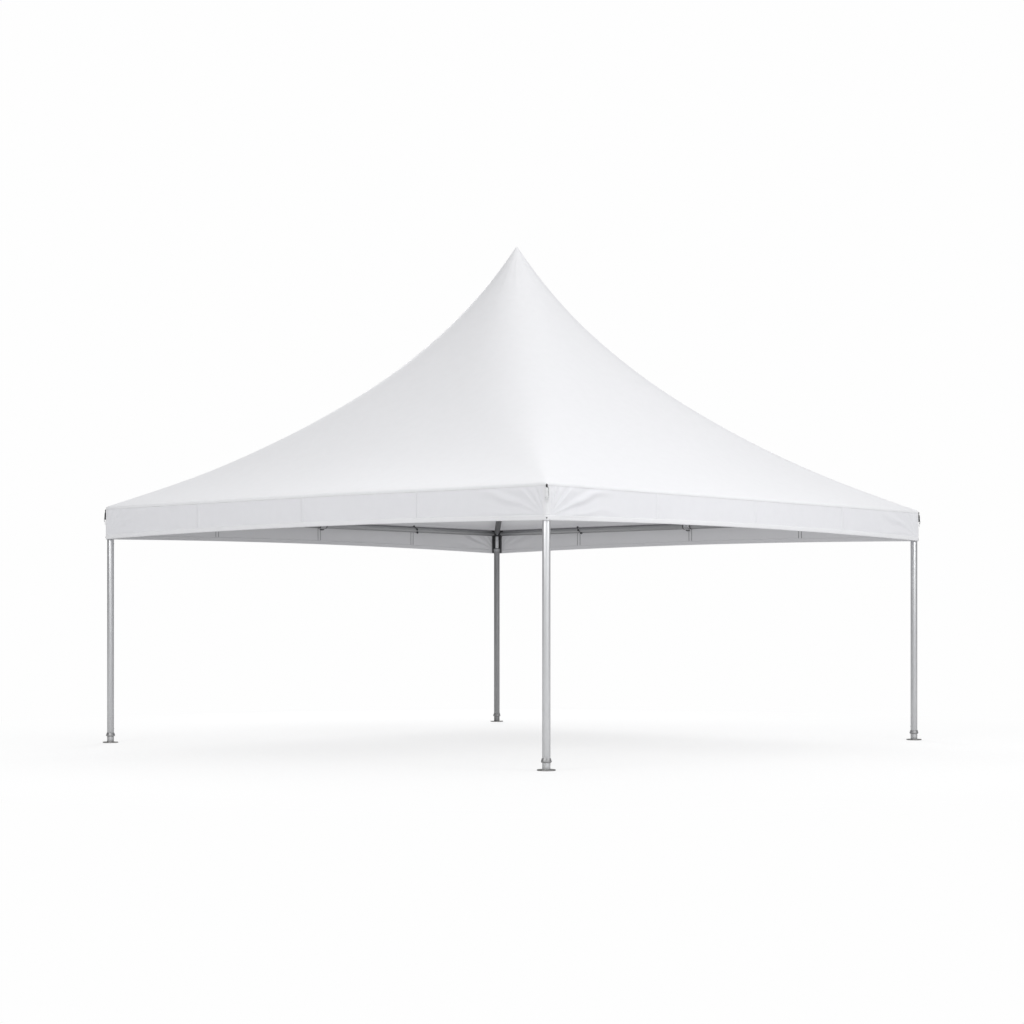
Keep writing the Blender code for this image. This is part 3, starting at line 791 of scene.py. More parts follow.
# %% Profile of the top
TIP_RADIUS = 0.015                       # rounding of the tip over the mast head
BEND_RADIUS = 0.024                      # of the fold at the eave
LAP_DEPTH = 0.028                        # how far the top turns down over the valance
CLOTH_THICKNESS = 0.0009
LAP_LIFT = 0.0009                        # the turned-down edge lies over the valance
TOP_RINGS = 58
EAVE_SLOPE = math.radians(25)


def top_profile():
    """Points of the hip from the tip to the turned-down edge, as (hip radius, height)."""
    steepness = math.atan((hip_height(0.01) - hip_height(0.02)) / 0.01)
    start = TIP_RADIUS * math.sin(steepness)
    tip = hip_height(start) + TIP_RADIUS * (1 - math.cos(steepness))
    points = []
    for step in range(5):
        turn = steepness * step / 5
        points.append((TIP_RADIUS * math.sin(turn), tip - TIP_RADIUS * (1 - math.cos(turn))))
    to_hip = HIP_LENGTH / FABRIC_HALF
    bend_start = (FABRIC_HALF - BEND_RADIUS * (1 - math.sin(EAVE_SLOPE))) * to_hip
    for step in range(TOP_RINGS):
        share = (step / TOP_RINGS) ** 1.5
        radius = start + (bend_start - start) * share
        points.append((radius, hip_height(radius)))
    drop = BEND_RADIUS * math.tan((math.pi / 2 - EAVE_SLOPE) / 2)
    for step in range(9):
        turn = (math.pi / 2 - EAVE_SLOPE) * (1 - step / 8)
        half = FABRIC_HALF - BEND_RADIUS * (1 - math.cos(turn))
        points.append((half * to_hip, EAVE_BREAK - drop + BEND_RADIUS * math.sin(turn)))
    for share in (0.5, 1.0):
        points.append((HIP_LENGTH, EAVE_BREAK - drop - (LAP_DEPTH - drop) * share))
    return points


profile = top_profile()
print("points of the profile:", len(profile), "tip at", round(profile[0][1], 3), "m")

# %% [markdown]
# The columns are moved with one rule: a column's place between the middle of a side and its
# corner is a share from 0 to 1, and the rule says how far along the wall that share lies. The
# same rule spaces the columns of the valance below.

# %% Spacing of columns and the squared sections
COLUMNS_AT_CORNER = 0.2                  # spacing near a corner, beside an even spacing


def wall_share(share):
    """Place along a side, from -1 to 1, of a column's share from -1 to 1."""
    left_over = 1 - min(abs(share), 1.0)
    from_corner = COLUMNS_AT_CORNER * left_over + (1 - COLUMNS_AT_CORNER) * left_over ** 3
    return math.copysign(1 - from_corner, share)


def squared(x, y):
    """Move a point of an evenly spun ring onto its squared circle."""
    radius = math.hypot(x, y)
    angle = math.atan2(y, x)
    quarter = round(angle / (math.pi / 2)) * math.pi / 2
    share = (angle - quarter) / (math.pi / 4)
    angle = quarter + math.atan(wall_share(share))
    reach = level_radius(radius, angle)
    return reach * math.cos(angle), reach * math.sin(angle)


print("a column at half share lies", round(wall_share(0.5), 3), "of the way to the corner")

# %% [markdown]
# Tension shows on the roof too: fine wrinkles run down from the tip, and the cloth between the
# hips is very slightly uneven. Both are only a millimetre or two deep, as on a top that has
# been pulled tight.

# %% Relief of the roof
def roof_relief(x, y, z):
    """How far the taut top stands out at a place, in metres."""
    angle = math.atan2(y, x)
    near_tip = ease(z, 4.55, 4.85) * (1 - ease(z, 5.08, 5.18))
    pleats = math.sin(angle * 17 + 1.2 * math.sin(angle * 3)) + 0.5 * math.sin(angle * 29 + z * 2)
    uneven = noise.noise(Vector((x * 0.9, y * 0.9, z * 0.9)))
    uneven += 0.35 * noise.noise(Vector((x * 2.4, y * 2.4, z * 2.4 + 5)))
    free = 1 - ease(z, EAVE_BREAK + 0.25, EAVE_BREAK + 0.05)
    return 0.0007 * pleats * near_tip + 0.004 * uneven * free * (1 - ease(z, 4.9, 5.15))


# %% [markdown]
# Every piece ends the same way: its mesh gets a material, smooth shading with sharp creases
# kept, and it is tied to the tent's one body. The thread map of a cloth is laid in metres, along
# the wall and down the slope.

# %% Finishing a piece
CREASE_ANGLE = math.radians(38)


def finish_piece(name, bm, material, stands_for=(), crease=CREASE_ANGLE):
    """Turn a bmesh into a finished piece that rides with the tent."""
    mesh = bpy.data.meshes.new(name)
    bm.to_mesh(mesh)
    bm.free()
    mesh.materials.append(material)
    mesh.shade_smooth()
    mesh.set_sharp_from_angle(angle=crease)
    piece = bpy.data.objects.new(name, mesh)
    bpy.context.collection.objects.link(piece)
    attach(piece, "root")
    if stands_for:
        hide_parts(*stands_for)
    return piece


def give_thickness(piece, thickness, offset, inside=None):
    """Solidify a sheet; offset -1 puts the thickness inside, 0 on both sides."""
    wall = piece.modifiers.new("thickness", "SOLIDIFY")
    wall.thickness = thickness
    wall.offset = offset
    wall.use_even_offset = True
    if inside:
        piece.data.materials.append(inside)
        wall.material_offset = 1


def lay_cloth_map(bm):
    """Map each face in metres: along its side of the tent, and up its slope."""
    layer = bm.loops.layers.uv.new("cloth")
    for face in bm.faces:
        centre = face.calc_center_median()
        lengthwise = abs(centre.x) < abs(centre.y)
        for loop in face.loops:
            point = loop.vert.co
            along = point.x if lengthwise else point.y
            out = abs(point.y) if lengthwise else abs(point.x)
            loop[layer].uv = (along, math.hypot(FABRIC_HALF - out, point.z - EAVE_BREAK))


# %% [markdown]
# Now the sheet itself. After the spin the points at the tip are merged, so the pole is closed.

# %% The top
TOP_COLUMNS = 4 * 112

bm = bmesh.new()
points = [bm.verts.new((radius, 0.0, height)) for radius, height in profile]
edges = [bm.edges.new(pair) for pair in zip(points, points[1:])]
bmesh.ops.spin(bm, geom=points + edges, axis=(0, 0, 1), cent=(0, 0, 0),
               angle=2 * math.pi, steps=TOP_COLUMNS, use_merge=True)
for vert in bm.verts:
    if math.hypot(vert.co.x, vert.co.y) > 1e-5:
        vert.co.x, vert.co.y = squared(vert.co.x, vert.co.y)
bmesh.ops.remove_doubles(bm, verts=bm.verts, dist=1e-6)
bmesh.ops.recalc_face_normals(bm, faces=bm.faces)
bm.normal_update()
moves = []
for vert in bm.verts:
    x, y, z = vert.co
    out = roof_relief(x, y, z)
    if z < EAVE_BREAK:
        out += wall_relief(x, y, z) + LAP_LIFT * ease(z, EAVE_BREAK, EAVE_BREAK - BEND_RADIUS)
    moves.append(vert.normal * out)
for vert, move in zip(bm.verts, moves):
    vert.co += move
    vert.co.z += eave_rise(vert.co.x, vert.co.y)
if sum(face.normal.z for face in bm.faces) < 0:
    bmesh.ops.reverse_faces(bm, faces=bm.faces)
lay_cloth_map(bm)
roof_area = sum(face.calc_area() for face in bm.faces)
roof_tree = BVHTree.FromBMesh(bm)
panel_nodes = [f"{side}_roof_panel" for side in SIDES]
top = finish_piece("top", bm, roof_cloth, panel_nodes + ["peak_cap"])
give_thickness(top, CLOTH_THICKNESS, -1, inside_roof)
print("cloth in the top:", round(roof_area, 1), "square metres,", len(top.data.polygons), "faces")

# %% [markdown]
# ## The valance
#
# The valance is a band of the same cloth all round the tent. Its hem is cut as a shallow arch on
# each side, a few centimetres higher in the middle. Each side starts as a flat grid that is
# laid onto the wall: across the grid is along the wall, and up the grid is up the wall. The
# four grids are then merged at the corners into one band.

# %% Laying a grid on the wall
HEM_ARCH = 0.035


def hem_line(along):
    """Height of the hem at a distance from the middle of a side."""
    return HEM_HEIGHT + HEM_ARCH * (1 - (along / FABRIC_HALF) ** 2)


def on_wall(side, along, height, lift):
    """Point of the valance of one side, with its wrinkles, and moved out by lift."""
    angle = math.atan2(along, FABRIC_HALF)
    reach = level_radius(HIP_LENGTH, angle)
    x, y = reach * math.cos(angle), reach * math.sin(angle)
    power = CORNER_SQUARENESS - 1
    normal = Vector((abs(x / FABRIC_HALF) ** power, math.copysign(abs(y / FABRIC_HALF) ** power, y), 0.0))
    turn = Matrix.Rotation(SIDES[side], 3, "Z")
    point = turn @ Vector((x, y, height))
    out = wall_relief(*point) + lift
    point.z += eave_rise(point.x, point.y) * ease(height, HEM_HEIGHT + 0.08, WALL_TOP_EDGE)
    return point + turn @ normal.normalized() * out


def wall_grid(bm, side, columns, rows, place):
    """Lay a grid on the wall; place turns shares from 0 to 1 into (along, height, lift)."""
    made = bmesh.ops.create_grid(bm, x_segments=columns, y_segments=rows, size=1.0)
    for vert in made["verts"]:
        along, height, lift = place((vert.co.x + 1) / 2, (vert.co.y + 1) / 2)
        vert.co = on_wall(side, along, height, lift)


def lay_wall_map(bm):
    """Map each face in metres: along the wall, and up it."""
    layer = bm.loops.layers.uv.new("cloth")
    for face in bm.faces:
        centre = face.calc_center_median()
        for loop in face.loops:
            point = loop.vert.co
            loop[layer].uv = (point.x if abs(centre.x) < abs(centre.y) else point.y, point.z)


# %% [markdown]
# The valance starts under the turned-down edge of the top, one thickness of cloth further in.

# %% The valance
WALL_COLUMNS = 272                       # on each side of the tent
WALL_ROWS = 28
WALL_TOP_EDGE = EAVE_BREAK - 0.019


def whole_side(across, up):
    along = FABRIC_HALF * wall_share(2 * across - 1)
    hem = hem_line(along)
    return along, hem + (WALL_TOP_EDGE - hem) * up, 0.0


bm = bmesh.new()
for side in SIDES:
    wall_grid(bm, side, WALL_COLUMNS, WALL_ROWS, whole_side)
bmesh.ops.remove_doubles(bm, verts=bm.verts, dist=1e-4)
lay_wall_map(bm)
valance = finish_piece("valance", bm, wall_cloth, [f"{side}_valance" for side in SIDES])
give_thickness(valance, CLOTH_THICKNESS, -1, inside_cloth)
print("valance faces:", len(valance.data.polygons))

# %% [markdown]
# The hem is a pocket: the cloth is turned up four and a half centimetres and welded, so the
# bottom edge is double, stands a little proud and looks whiter. The widths of cloth are joined
# with lap seams at the quarters of each side. A folded band of a hand's breadth strengthens each
# corner. Grey strips along both edges of each lap seam, on the inside, are painted shade: the
# seam looks dark there beside the single cloth that daylight shines through. Dark strips inside
# both sides of each corner are painted shade too: the shadow in the narrow gap between the leg
# and the cloth. All of these are strips on the same wall, thick enough to show.

# %% Hem and lap seams of the valance
HEM_DEPTH = 0.045
SEAM_WIDTH = 0.040
CORNER_BAND = 0.045                      # reinforcement on each side of a corner
SEAM_SHADE_WIDTH = 0.006                        # painted shade along the edge of a lap seam, seen inside
SEAM_SHADE_INSET = 0.0018
CORNER_SHADE_SPAN = (0.020, 0.092)               # from the corner to both edges of the corner's painted shade inside
SHADE_STRIP_TOP = 2.408
CORNER_SHADE_INSET = 0.0065                      # middle of the corner's painted shade behind the face of the wall
BAND_THICKNESS = 0.0018


def hem_strip(across, up):
    along = FABRIC_HALF * wall_share(2 * across - 1)
    return along, hem_line(along) - 0.001 + HEM_DEPTH * up, -CLOTH_THICKNESS / 2


bm = bmesh.new()
for side in SIDES:
    wall_grid(bm, side, WALL_COLUMNS, 4, hem_strip)
bmesh.ops.remove_doubles(bm, verts=bm.verts, dist=1e-4)
lay_wall_map(bm)
hem = finish_piece("valance_hem", bm, hem_cloth)
give_thickness(hem, BAND_THICKNESS, 0, inside_cloth)

SEAM_PLACES = {side: (-0.5, 0.0, 0.5) for side in SIDES}
SEAM_PLACES["right"] = (-0.5, 0.0, 0.555)

bm = bmesh.new()
for side in SIDES:
    for quarter in SEAM_PLACES[side]:
        def seam_strip(across, up, middle=quarter * FABRIC_HALF):
            along = middle + SEAM_WIDTH * (across - 0.5)
            bottom = hem_line(along) + HEM_DEPTH * 0.9
            return along, bottom + (WALL_TOP_EDGE - 0.004 - bottom) * up, -CLOTH_THICKNESS / 2

        wall_grid(bm, side, 4, WALL_ROWS, seam_strip)
lay_wall_map(bm)
seams = finish_piece("valance_seams", bm, wall_cloth)
give_thickness(seams, BAND_THICKNESS * 0.7, 0, inside_cloth)

# Painted shade: grey strips along both edges of each lap seam, inside.
bm = bmesh.new()
for side in SIDES:
    for quarter in SEAM_PLACES[side]:
        for edge in (-0.5, 0.5):
            def seam_shade_strip(across, up, middle=quarter * FABRIC_HALF + SEAM_WIDTH * edge):
                along = middle + SEAM_SHADE_WIDTH * (across - 0.5)
                bottom = hem_line(along) + HEM_DEPTH
                return along, bottom + (SHADE_STRIP_TOP - bottom) * up, -SEAM_SHADE_INSET

            wall_grid(bm, side, 1, WALL_ROWS, seam_shade_strip)
lay_wall_map(bm)
seam_shade_strips = finish_piece("valance_seam_painted_shade", bm, painted_shade_grey)
give_thickness(seam_shade_strips, 0.0008, 0)

bm = bmesh.new()
for side in SIDES:
    for end in (-1, 1):
        def corner_strip(across, up, end=end):
            along = end * (FABRIC_HALF - CORNER_BAND * (1 - across) ** 1.5)
            bottom = hem_line(along) + HEM_DEPTH * 0.9
            return along, bottom + (WALL_TOP_EDGE - 0.004 - bottom) * up, -CLOTH_THICKNESS / 2

        wall_grid(bm, side, 12, WALL_ROWS, corner_strip)
bmesh.ops.remove_doubles(bm, verts=bm.verts, dist=1e-4)
bmesh.ops.recalc_face_normals(bm, faces=bm.faces)
lay_wall_map(bm)
corner_bands = finish_piece("valance_corner_bands", bm, hem_cloth)
give_thickness(corner_bands, BAND_THICKNESS * 0.8, 0, inside_cloth)

# Painted shade inside both sides of each corner: the shadow in the gap between the leg and the cloth.
bm = bmesh.new()
for side in SIDES:
    for end in (-1, 1):
        def corner_shade_strip(across, up, end=end):
            along = end * (FABRIC_HALF - CORNER_SHADE_SPAN[0] - (CORNER_SHADE_SPAN[1] - CORNER_SHADE_SPAN[0]) * across)
            bottom = hem_line(along) + 0.004
            return along, bottom + (SHADE_STRIP_TOP - bottom) * up, -CORNER_SHADE_INSET

        wall_grid(bm, side, 4, WALL_ROWS, corner_shade_strip)
lay_wall_map(bm)
corner_shade_strips = finish_piece("corner_painted_shade_strips", bm, corner_shade_material)
give_thickness(corner_shade_strips, 0.0016, 0)
print("hem", HEM_DEPTH * 1000, "mm deep, seams:", 12)

# %% [markdown]
# ## Turned metal
#
# Nearly every metal piece of the frame is round. Each starts as a profile, radius against
# height, that is spun about the Z axis, gets its sharp edges rounded by a bevel, and is then
# moved to its place. The rounded faces are marked for the wear, and the map is laid in metres
# round the piece and along it, so that the die lines run along the tubes.

# %% Spinning, rounding and joining parts
ROUND_STEPS = 48
SHARP_ANGLE = math.radians(28)


def new_part():
    """Empty bmesh with the map and the wear mark that every metal piece carries."""
    part = bmesh.new()
    part.loops.layers.uv.new("metres")
    part.faces.layers.float.new("worn_edge")
    return part


def round_edges(part, width):
    """Round the sharp edges of a part and mark the new faces as worn."""
    worn = part.faces.layers.float["worn_edge"]
    sharp = [edge for edge in part.edges if edge.is_manifold and edge.calc_face_angle() > SHARP_ANGLE]
    made = bmesh.ops.bevel(part, geom=sharp, offset=width, offset_type="OFFSET", segments=2,
                           profile=0.5, affect="EDGES", material=-1, clamp_overlap=True)
    for face in made["faces"]:
        face[worn] = 1.0


def map_round(part):
    """Lay the map in metres: round the axis and along it, or flat across an end."""
    layer = part.loops.layers.uv["metres"]
    for face in part.faces:
        middle = face.calc_center_median()
        start = math.atan2(middle.y, middle.x)
        for loop in face.loops:
            x, y, z = loop.vert.co
            if abs(face.normal.z) > 0.7:
                loop[layer].uv = (x, y)
            else:
                turn = (math.atan2(y, x) - start + math.pi) % (2 * math.pi) - math.pi
                loop[layer].uv = ((start + turn) * TUBE_RADIUS, z)


def join_part(whole, part, place):
    """Move a part to its place and join it to a piece."""
    part.normal_update()
    map_round(part)
    bmesh.ops.transform(part, matrix=place, verts=part.verts)
    mesh = bpy.data.meshes.new("part")
    part.to_mesh(mesh)
    part.free()
    whole.from_mesh(mesh)
    bpy.data.meshes.remove(mesh)


def add_turned(whole, profile, place, closed=False, rounding=0.0008, steps=ROUND_STEPS):
    """Spin a profile of (radius, height) points and join the result to a piece."""
    part = new_part()
    points = [part.verts.new((radius, 0.0, height)) for radius, height in profile]
    ring = points + points[:1] if closed else points
    edges = [part.edges.new(pair) for pair in zip(ring, ring[1:])]
    bmesh.ops.spin(part, geom=points + edges, axis=(0, 0, 1), cent=(0, 0, 0),
                   angle=2 * math.pi, steps=steps, use_merge=True)
    bmesh.ops.remove_doubles(part, verts=part.verts, dist=1e-6)
    bmesh.ops.recalc_face_normals(part, faces=part.faces)
    if rounding:
        round_edges(part, rounding)
    join_part(whole, part, place)


def aim(start, end):
    """Matrix that lays the Z axis from start towards end, and the distance between them."""
    line = Vector(end) - Vector(start)
    return Matrix.Translation(start) @ line.to_track_quat("Z", "Y").to_matrix().to_4x4(), line.length


def add_tube(whole, start, end, radius=TUBE_RADIUS, wall=TUBE_WALL):
    """Open tube between two points."""
    place, length = aim(start, end)
    inner = radius - wall
    add_turned(whole, [(radius, 0), (radius, length), (inner, length), (inner, 0)], place, closed=True)


print("a tube is spun in", ROUND_STEPS, "steps")

# %% [markdown]
# Three small things return all over the frame. Welds are ropes of metal with a ripple for each
# touch of the torch. A weld round an arm that meets an upright tube doesn't lie in a plane, so
# its ring is pushed along the arm until it lies on the upright. Bolts have hexagon heads on
# washers. Spring buttons are the little domes that lock a tube on its spigot.

# %% Welds, bolts and buttons
WELD_STEPS = 150
WELD_RIPPLES = 46


def add_weld(whole, radius, place, bead=0.0030, post=0.0, tilt=0.0):
    """Weld round a joint; post is the radius of the upright that a level or tilted arm meets."""
    part = new_part()
    section = Matrix.Translation((radius, 0, 0)) @ Matrix.Rotation(math.pi / 2, 4, "X")
    bmesh.ops.create_circle(part, segments=8, radius=bead, matrix=section)
    bmesh.ops.spin(part, geom=part.verts[:] + part.edges[:], axis=(0, 0, 1), cent=(0, 0, 0),
                   angle=2 * math.pi, steps=WELD_STEPS, use_merge=True)
    for vert in part.verts:
        x, y, z = vert.co
        angle = math.atan2(y, x)
        ripple = 1 + 0.16 * math.sin(angle * WELD_RIPPLES) + 0.12 * math.sin(angle * 5 + radius * 900)
        reach = radius + (math.hypot(x, y) - radius) * ripple
        vert.co = (reach * math.cos(angle), reach * math.sin(angle), z * ripple)
        if post:
            out = math.sqrt(post ** 2 - min(abs(vert.co.x), post * 0.98) ** 2)
            vert.co.z += (out + vert.co.y * math.sin(tilt)) / math.cos(tilt)
    bmesh.ops.recalc_face_normals(part, faces=part.faces)
    join_part(whole, part, place)


def add_bolt(whole, place, size=0.0085):
    """Hexagon head on a washer, standing on the place's ground plane."""
    washer = size * 1.35
    add_turned(whole, [(0, -0.004), (washer, -0.004), (washer, 0.0015), (0, 0.0015)], place,
               rounding=0.0004, steps=28)
    head = new_part()
    bmesh.ops.create_cone(head, cap_ends=True, segments=6, radius1=size, radius2=size, depth=0.0055)
    bmesh.ops.translate(head, vec=(0, 0, 0.0042), verts=head.verts)
    round_edges(head, 0.0007)
    join_part(whole, head, place)


def add_button(whole, place, radius=0.0045):
    """Dome of a spring button."""
    dome = [(radius * math.cos(turn), radius * math.sin(turn)) for turn in (0.0, 0.4, 0.8, 1.2)]
    add_turned(whole, [(0, -0.003), (radius, -0.003)] + dome + [(0, radius)], place, rounding=0, steps=20)


def on_tube(axis_place, along, angle, radius=TUBE_RADIUS):
    """Place on the skin of a tube that lies along Z of axis_place, with Z pointing outwards."""
    turn = Matrix.Rotation(angle, 4, "Z") @ Matrix.Rotation(math.pi / 2, 4, "Y")
    return axis_place @ Matrix.Translation((0, 0, along)) @ turn @ Matrix.Translation((0, 0, radius))


print("a weld has", WELD_RIPPLES, "ripples")

# %% [markdown]
# ## Legs and feet
#
# A leg is a plain tube, 70 mm across. It stands on the socket of a round base plate, and a cone
# collar covers the joint against rain and knocks. A spring button locks it a hand above the
# collar. The base plate is a steel disc with a short tube welded on it. The corners differ only
# by a quarter turn about the middle of the tent, so one function turns a place round to each.

# %% Places of the corners
RAFTER_PITCH = math.radians(16.4)
RAFTER_FOOT = EAVE_HEIGHT - 0.010


def corner_place(corner):
    """Matrix that carries a leg's own axis to its corner, with the tent's middle on -X and -Y."""
    sign_x, sign_y = CORNERS[corner]
    turn = Matrix.Rotation(math.atan2(sign_y, sign_x) - math.pi / 4, 4, "Z")
    return turn @ Matrix.Translation((AXIS_OFFSET, AXIS_OFFSET, 0))


for corner in CORNERS:
    print(corner, [round(value, 3) for value in corner_place(corner).translation])

# %% Legs
TOWARDS_MIDDLE = math.radians(225)       # direction of the tent's middle, seen from a leg

for corner in CORNERS:
    place = corner_place(corner)
    whole = new_part()
    add_tube(whole, place @ Vector((0, 0, LEG_FOOT)), place @ Vector((0, 0, LEG_TOP)))
    # each leg gets the lit, plain or shaded copy of the aluminium: painted light and shade
    finish_piece(f"{corner}_leg_tube", whole, LEG_PAINTED_LIGHT[corner], [f"{corner}_leg"])
    whole = new_part()
    add_button(whole, on_tube(place, 0.147, TOWARDS_MIDDLE))
    add_button(whole, on_tube(place, 2.085, TOWARDS_MIDDLE))
    finish_piece(f"{corner}_leg_buttons", whole, bolt_zinc)
print("legs from", round(LEG_FOOT, 3), "to", round(LEG_TOP, 3), "m")

# %% Base plates and collars
PLATE_RADIUS = 0.080
PLATE_THICKNESS = 0.010
SOCKET_TOP = LEG_FOOT - 0.0003
COLLAR_BORE = 0.0353
COLLAR_PROFILE = [(COLLAR_BORE, 0.068), (0.042, 0.068), (0.046, 0.073), (0.046, 0.078),
                  (0.0383, 0.106), (COLLAR_BORE, 0.106)]

for corner in CORNERS:
    place = corner_place(corner)
    whole = new_part()
    add_turned(whole, [(0, 0), (PLATE_RADIUS, 0), (PLATE_RADIUS, PLATE_THICKNESS), (0, PLATE_THICKNESS)],
               place, rounding=0.0018, steps=96)
    add_weld(whole, TUBE_RADIUS + 0.0008, place @ Matrix.Translation((0, 0, PLATE_THICKNESS + 0.0008)))
    finish_piece(f"{corner}_foot", whole, plate_zinc, [f"{corner}_base_plate"])
    whole = new_part()
    add_turned(whole, [(0, PLATE_THICKNESS / 2), (TUBE_RADIUS, PLATE_THICKNESS / 2), (TUBE_RADIUS, SOCKET_TOP),
                       (0, SOCKET_TOP)], place)
    # the socket takes its leg's lit, plain or shaded copy: painted light and shade
    finish_piece(f"{corner}_socket", whole, LEG_PAINTED_LIGHT[corner])
    whole = new_part()
    add_turned(whole, COLLAR_PROFILE, place, closed=True)
    finish_piece(f"{corner}_foot_collar", whole, cast_alloy, [f"{corner}_leg_collar"])
print("feet", 2000 * PLATE_RADIUS, "mm across")

# %% [markdown]
# ## Eave tubes and tees
#
# Two tubes make one side of the ring, joined by a tee in the middle. The tubes are read from
# the model's boxes, so that each keeps its own length. The tee is a casting with a short stub
# that points down for a middle leg, closed with a black plug when there is none. It has a
# thicker rim and a rubber ring at each end, a third ring on the stub, and a bolt through each arm.

# %% Eave tubes
for side in SIDES:
    for number in (1, 2):
        low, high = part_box(f"{side}_eave_tube_{number}")
        middle = (low + high) / 2
        lengthwise = Vector((1, 0, 0)) if high.x - low.x > high.y - low.y else Vector((0, 1, 0))
        half = (high - low).dot(lengthwise) / 2
        whole = new_part()
        add_tube(whole, middle - lengthwise * half, middle + lengthwise * half)
        # the eave tubes take the shaded copy of the aluminium: painted shade
        finish_piece(f"{side}_eave_{number}", whole, shaded_tube, [f"{side}_eave_tube_{number}"])
print("eave tubes", round(2 * half, 3), "m long")

# %% [markdown]
# A dark grey strip along the top of each eave tube, with black ends over the arms of the
# corners, is painted shade: the shadow in the narrow gap between the cloth and the tube. A small
# upright rectangle, spun a quarter turn round the tube's axis, makes it.

# %% Painted shade along the top of the eave tubes
LAID_ALONG = Matrix.Rotation(-math.pi / 2, 4, "X")
TAPE_THICKNESS = 0.0012
TAPE_START = math.radians(208)           # angles round the tube: 180 faces the middle of the tent
TAPE_TURN = math.radians(95)
TAPE_RUN = (0.055, AXIS_OFFSET - 0.125)  # along the tube, from the middle of the side
TAPE_END = (AXIS_OFFSET - 0.125, AXIS_OFFSET - 0.038)


def side_place(side):
    """Matrix that carries +X to the middle of a side's eave tube."""
    return Matrix.Rotation(SIDES[side], 4, "Z") @ Matrix.Translation((AXIS_OFFSET, 0, EAVE_HEIGHT))


def add_tape(whole, place, run, end):
    """Quarter-round strip on a tube between two distances along it, on one side of the middle."""
    strip = new_part()
    middle, length = sum(run) / 2, run[1] - run[0]
    turned = Matrix.Rotation(TAPE_START, 4, "Z") @ Matrix.Rotation(math.pi / 2, 4, "X")
    bmesh.ops.create_grid(strip, x_segments=1, y_segments=1, size=0.5)
    bmesh.ops.scale(strip, vec=(TAPE_THICKNESS, length, 1.0), verts=strip.verts)
    out = TUBE_RADIUS + TAPE_THICKNESS / 2 - 0.0002
    bmesh.ops.translate(strip, vec=(out, end * middle, 0), verts=strip.verts)
    bmesh.ops.transform(strip, matrix=turned, verts=strip.verts)
    bmesh.ops.spin(strip, geom=strip.verts[:] + strip.edges[:] + strip.faces[:], axis=(0, 0, 1),
                   cent=(0, 0, 0), angle=TAPE_TURN, steps=14)
    bmesh.ops.recalc_face_normals(strip, faces=strip.faces)
    join_part(whole, strip, place)


# painted shade: a grey strip along each eave tube and black strips over the arms at its ends
for side in SIDES:
    place = side_place(side) @ LAID_ALONG
    for name, run, finish in (("tube_painted_shade", TAPE_RUN, painted_shade_grey), ("tube_painted_shade_ends", TAPE_END, black_rubber_and_painted_shade)):
        whole = new_part()
        for end in (-1, 1):
            add_tape(whole, place, run, end)
        finish_piece(f"{side}_{name}", whole, finish)
# the width printed is that of the painted shade strip
print("chafing tape", round(1000 * TAPE_TURN * TUBE_RADIUS), "mm wide")

# %% Tees
TEE_HALF = 0.045
STUB_RADIUS = 0.024
STUB_LENGTH = EAVE_HEIGHT - TEE_BOTTOM
TEE_RIM = 0.0366


POINTING_DOWN = Matrix.Rotation(math.pi, 4, "X")
QUARTER_TURN = Matrix.Rotation(math.pi / 2, 4, "Z")
TEE_PROFILE = [(0, -TEE_HALF), (TEE_RIM, -TEE_HALF), (TEE_RIM, -TEE_HALF + 0.011), (TUBE_RADIUS, -TEE_HALF + 0.014),
               (TUBE_RADIUS, TEE_HALF - 0.014), (TEE_RIM, TEE_HALF - 0.011), (TEE_RIM, TEE_HALF), (0, TEE_HALF)]

RING_PLACE = 0.050
RING_PROFILE = [(TUBE_RADIUS + 0.0001, -0.005), (0.0395, -0.005), (0.0395, 0.005), (TUBE_RADIUS + 0.0001, 0.005)]
STUB_RING = [(STUB_RADIUS - 0.001, STUB_LENGTH - 0.013), (STUB_RADIUS + 0.0025, STUB_LENGTH - 0.013),
             (STUB_RADIUS + 0.0025, STUB_LENGTH - 0.005), (STUB_RADIUS - 0.001, STUB_LENGTH - 0.005)]

for side in SIDES:
    place = side_place(side)
    whole = new_part()
    add_turned(whole, TEE_PROFILE, place @ LAID_ALONG)
    add_turned(whole, [(0, 0.010), (STUB_RADIUS, 0.010), (STUB_RADIUS, STUB_LENGTH - 0.004), (0, STUB_LENGTH - 0.004)],
               place @ POINTING_DOWN, rounding=0.002)
    add_weld(whole, STUB_RADIUS, place @ POINTING_DOWN @ QUARTER_TURN, post=TUBE_RADIUS)
    finish_piece(f"{side}_tee", whole, cast_alloy, [f"{side}_eave_tee"])
    whole = new_part()
    for end in (-1, 1):
        add_turned(whole, RING_PROFILE, place @ LAID_ALONG @ Matrix.Translation((0, 0, end * RING_PLACE)), closed=True)
    add_turned(whole, STUB_RING, place @ POINTING_DOWN, closed=True)
    finish_piece(f"{side}_tee_rings", whole, black_rubber_and_painted_shade)
    whole = new_part()
    for along in (-0.024, 0.024):
        add_bolt(whole, on_tube(place @ LAID_ALONG, along, math.radians(180)))
    finish_piece(f"{side}_tee_bolts", whole, bolt_zinc)
    whole = new_part()
    add_turned(whole, [(0, STUB_LENGTH - 0.008), (0.020, STUB_LENGTH - 0.008), (0.020, STUB_LENGTH - 0.0015),
                       (0.015, STUB_LENGTH), (0, STUB_LENGTH)], place @ POINTING_DOWN)
    finish_piece(f"{side}_tee_plug", whole, black_rubber_and_painted_shade)
print("tees reach", round(1000 * STUB_LENGTH), "mm below the eave tubes' axis")

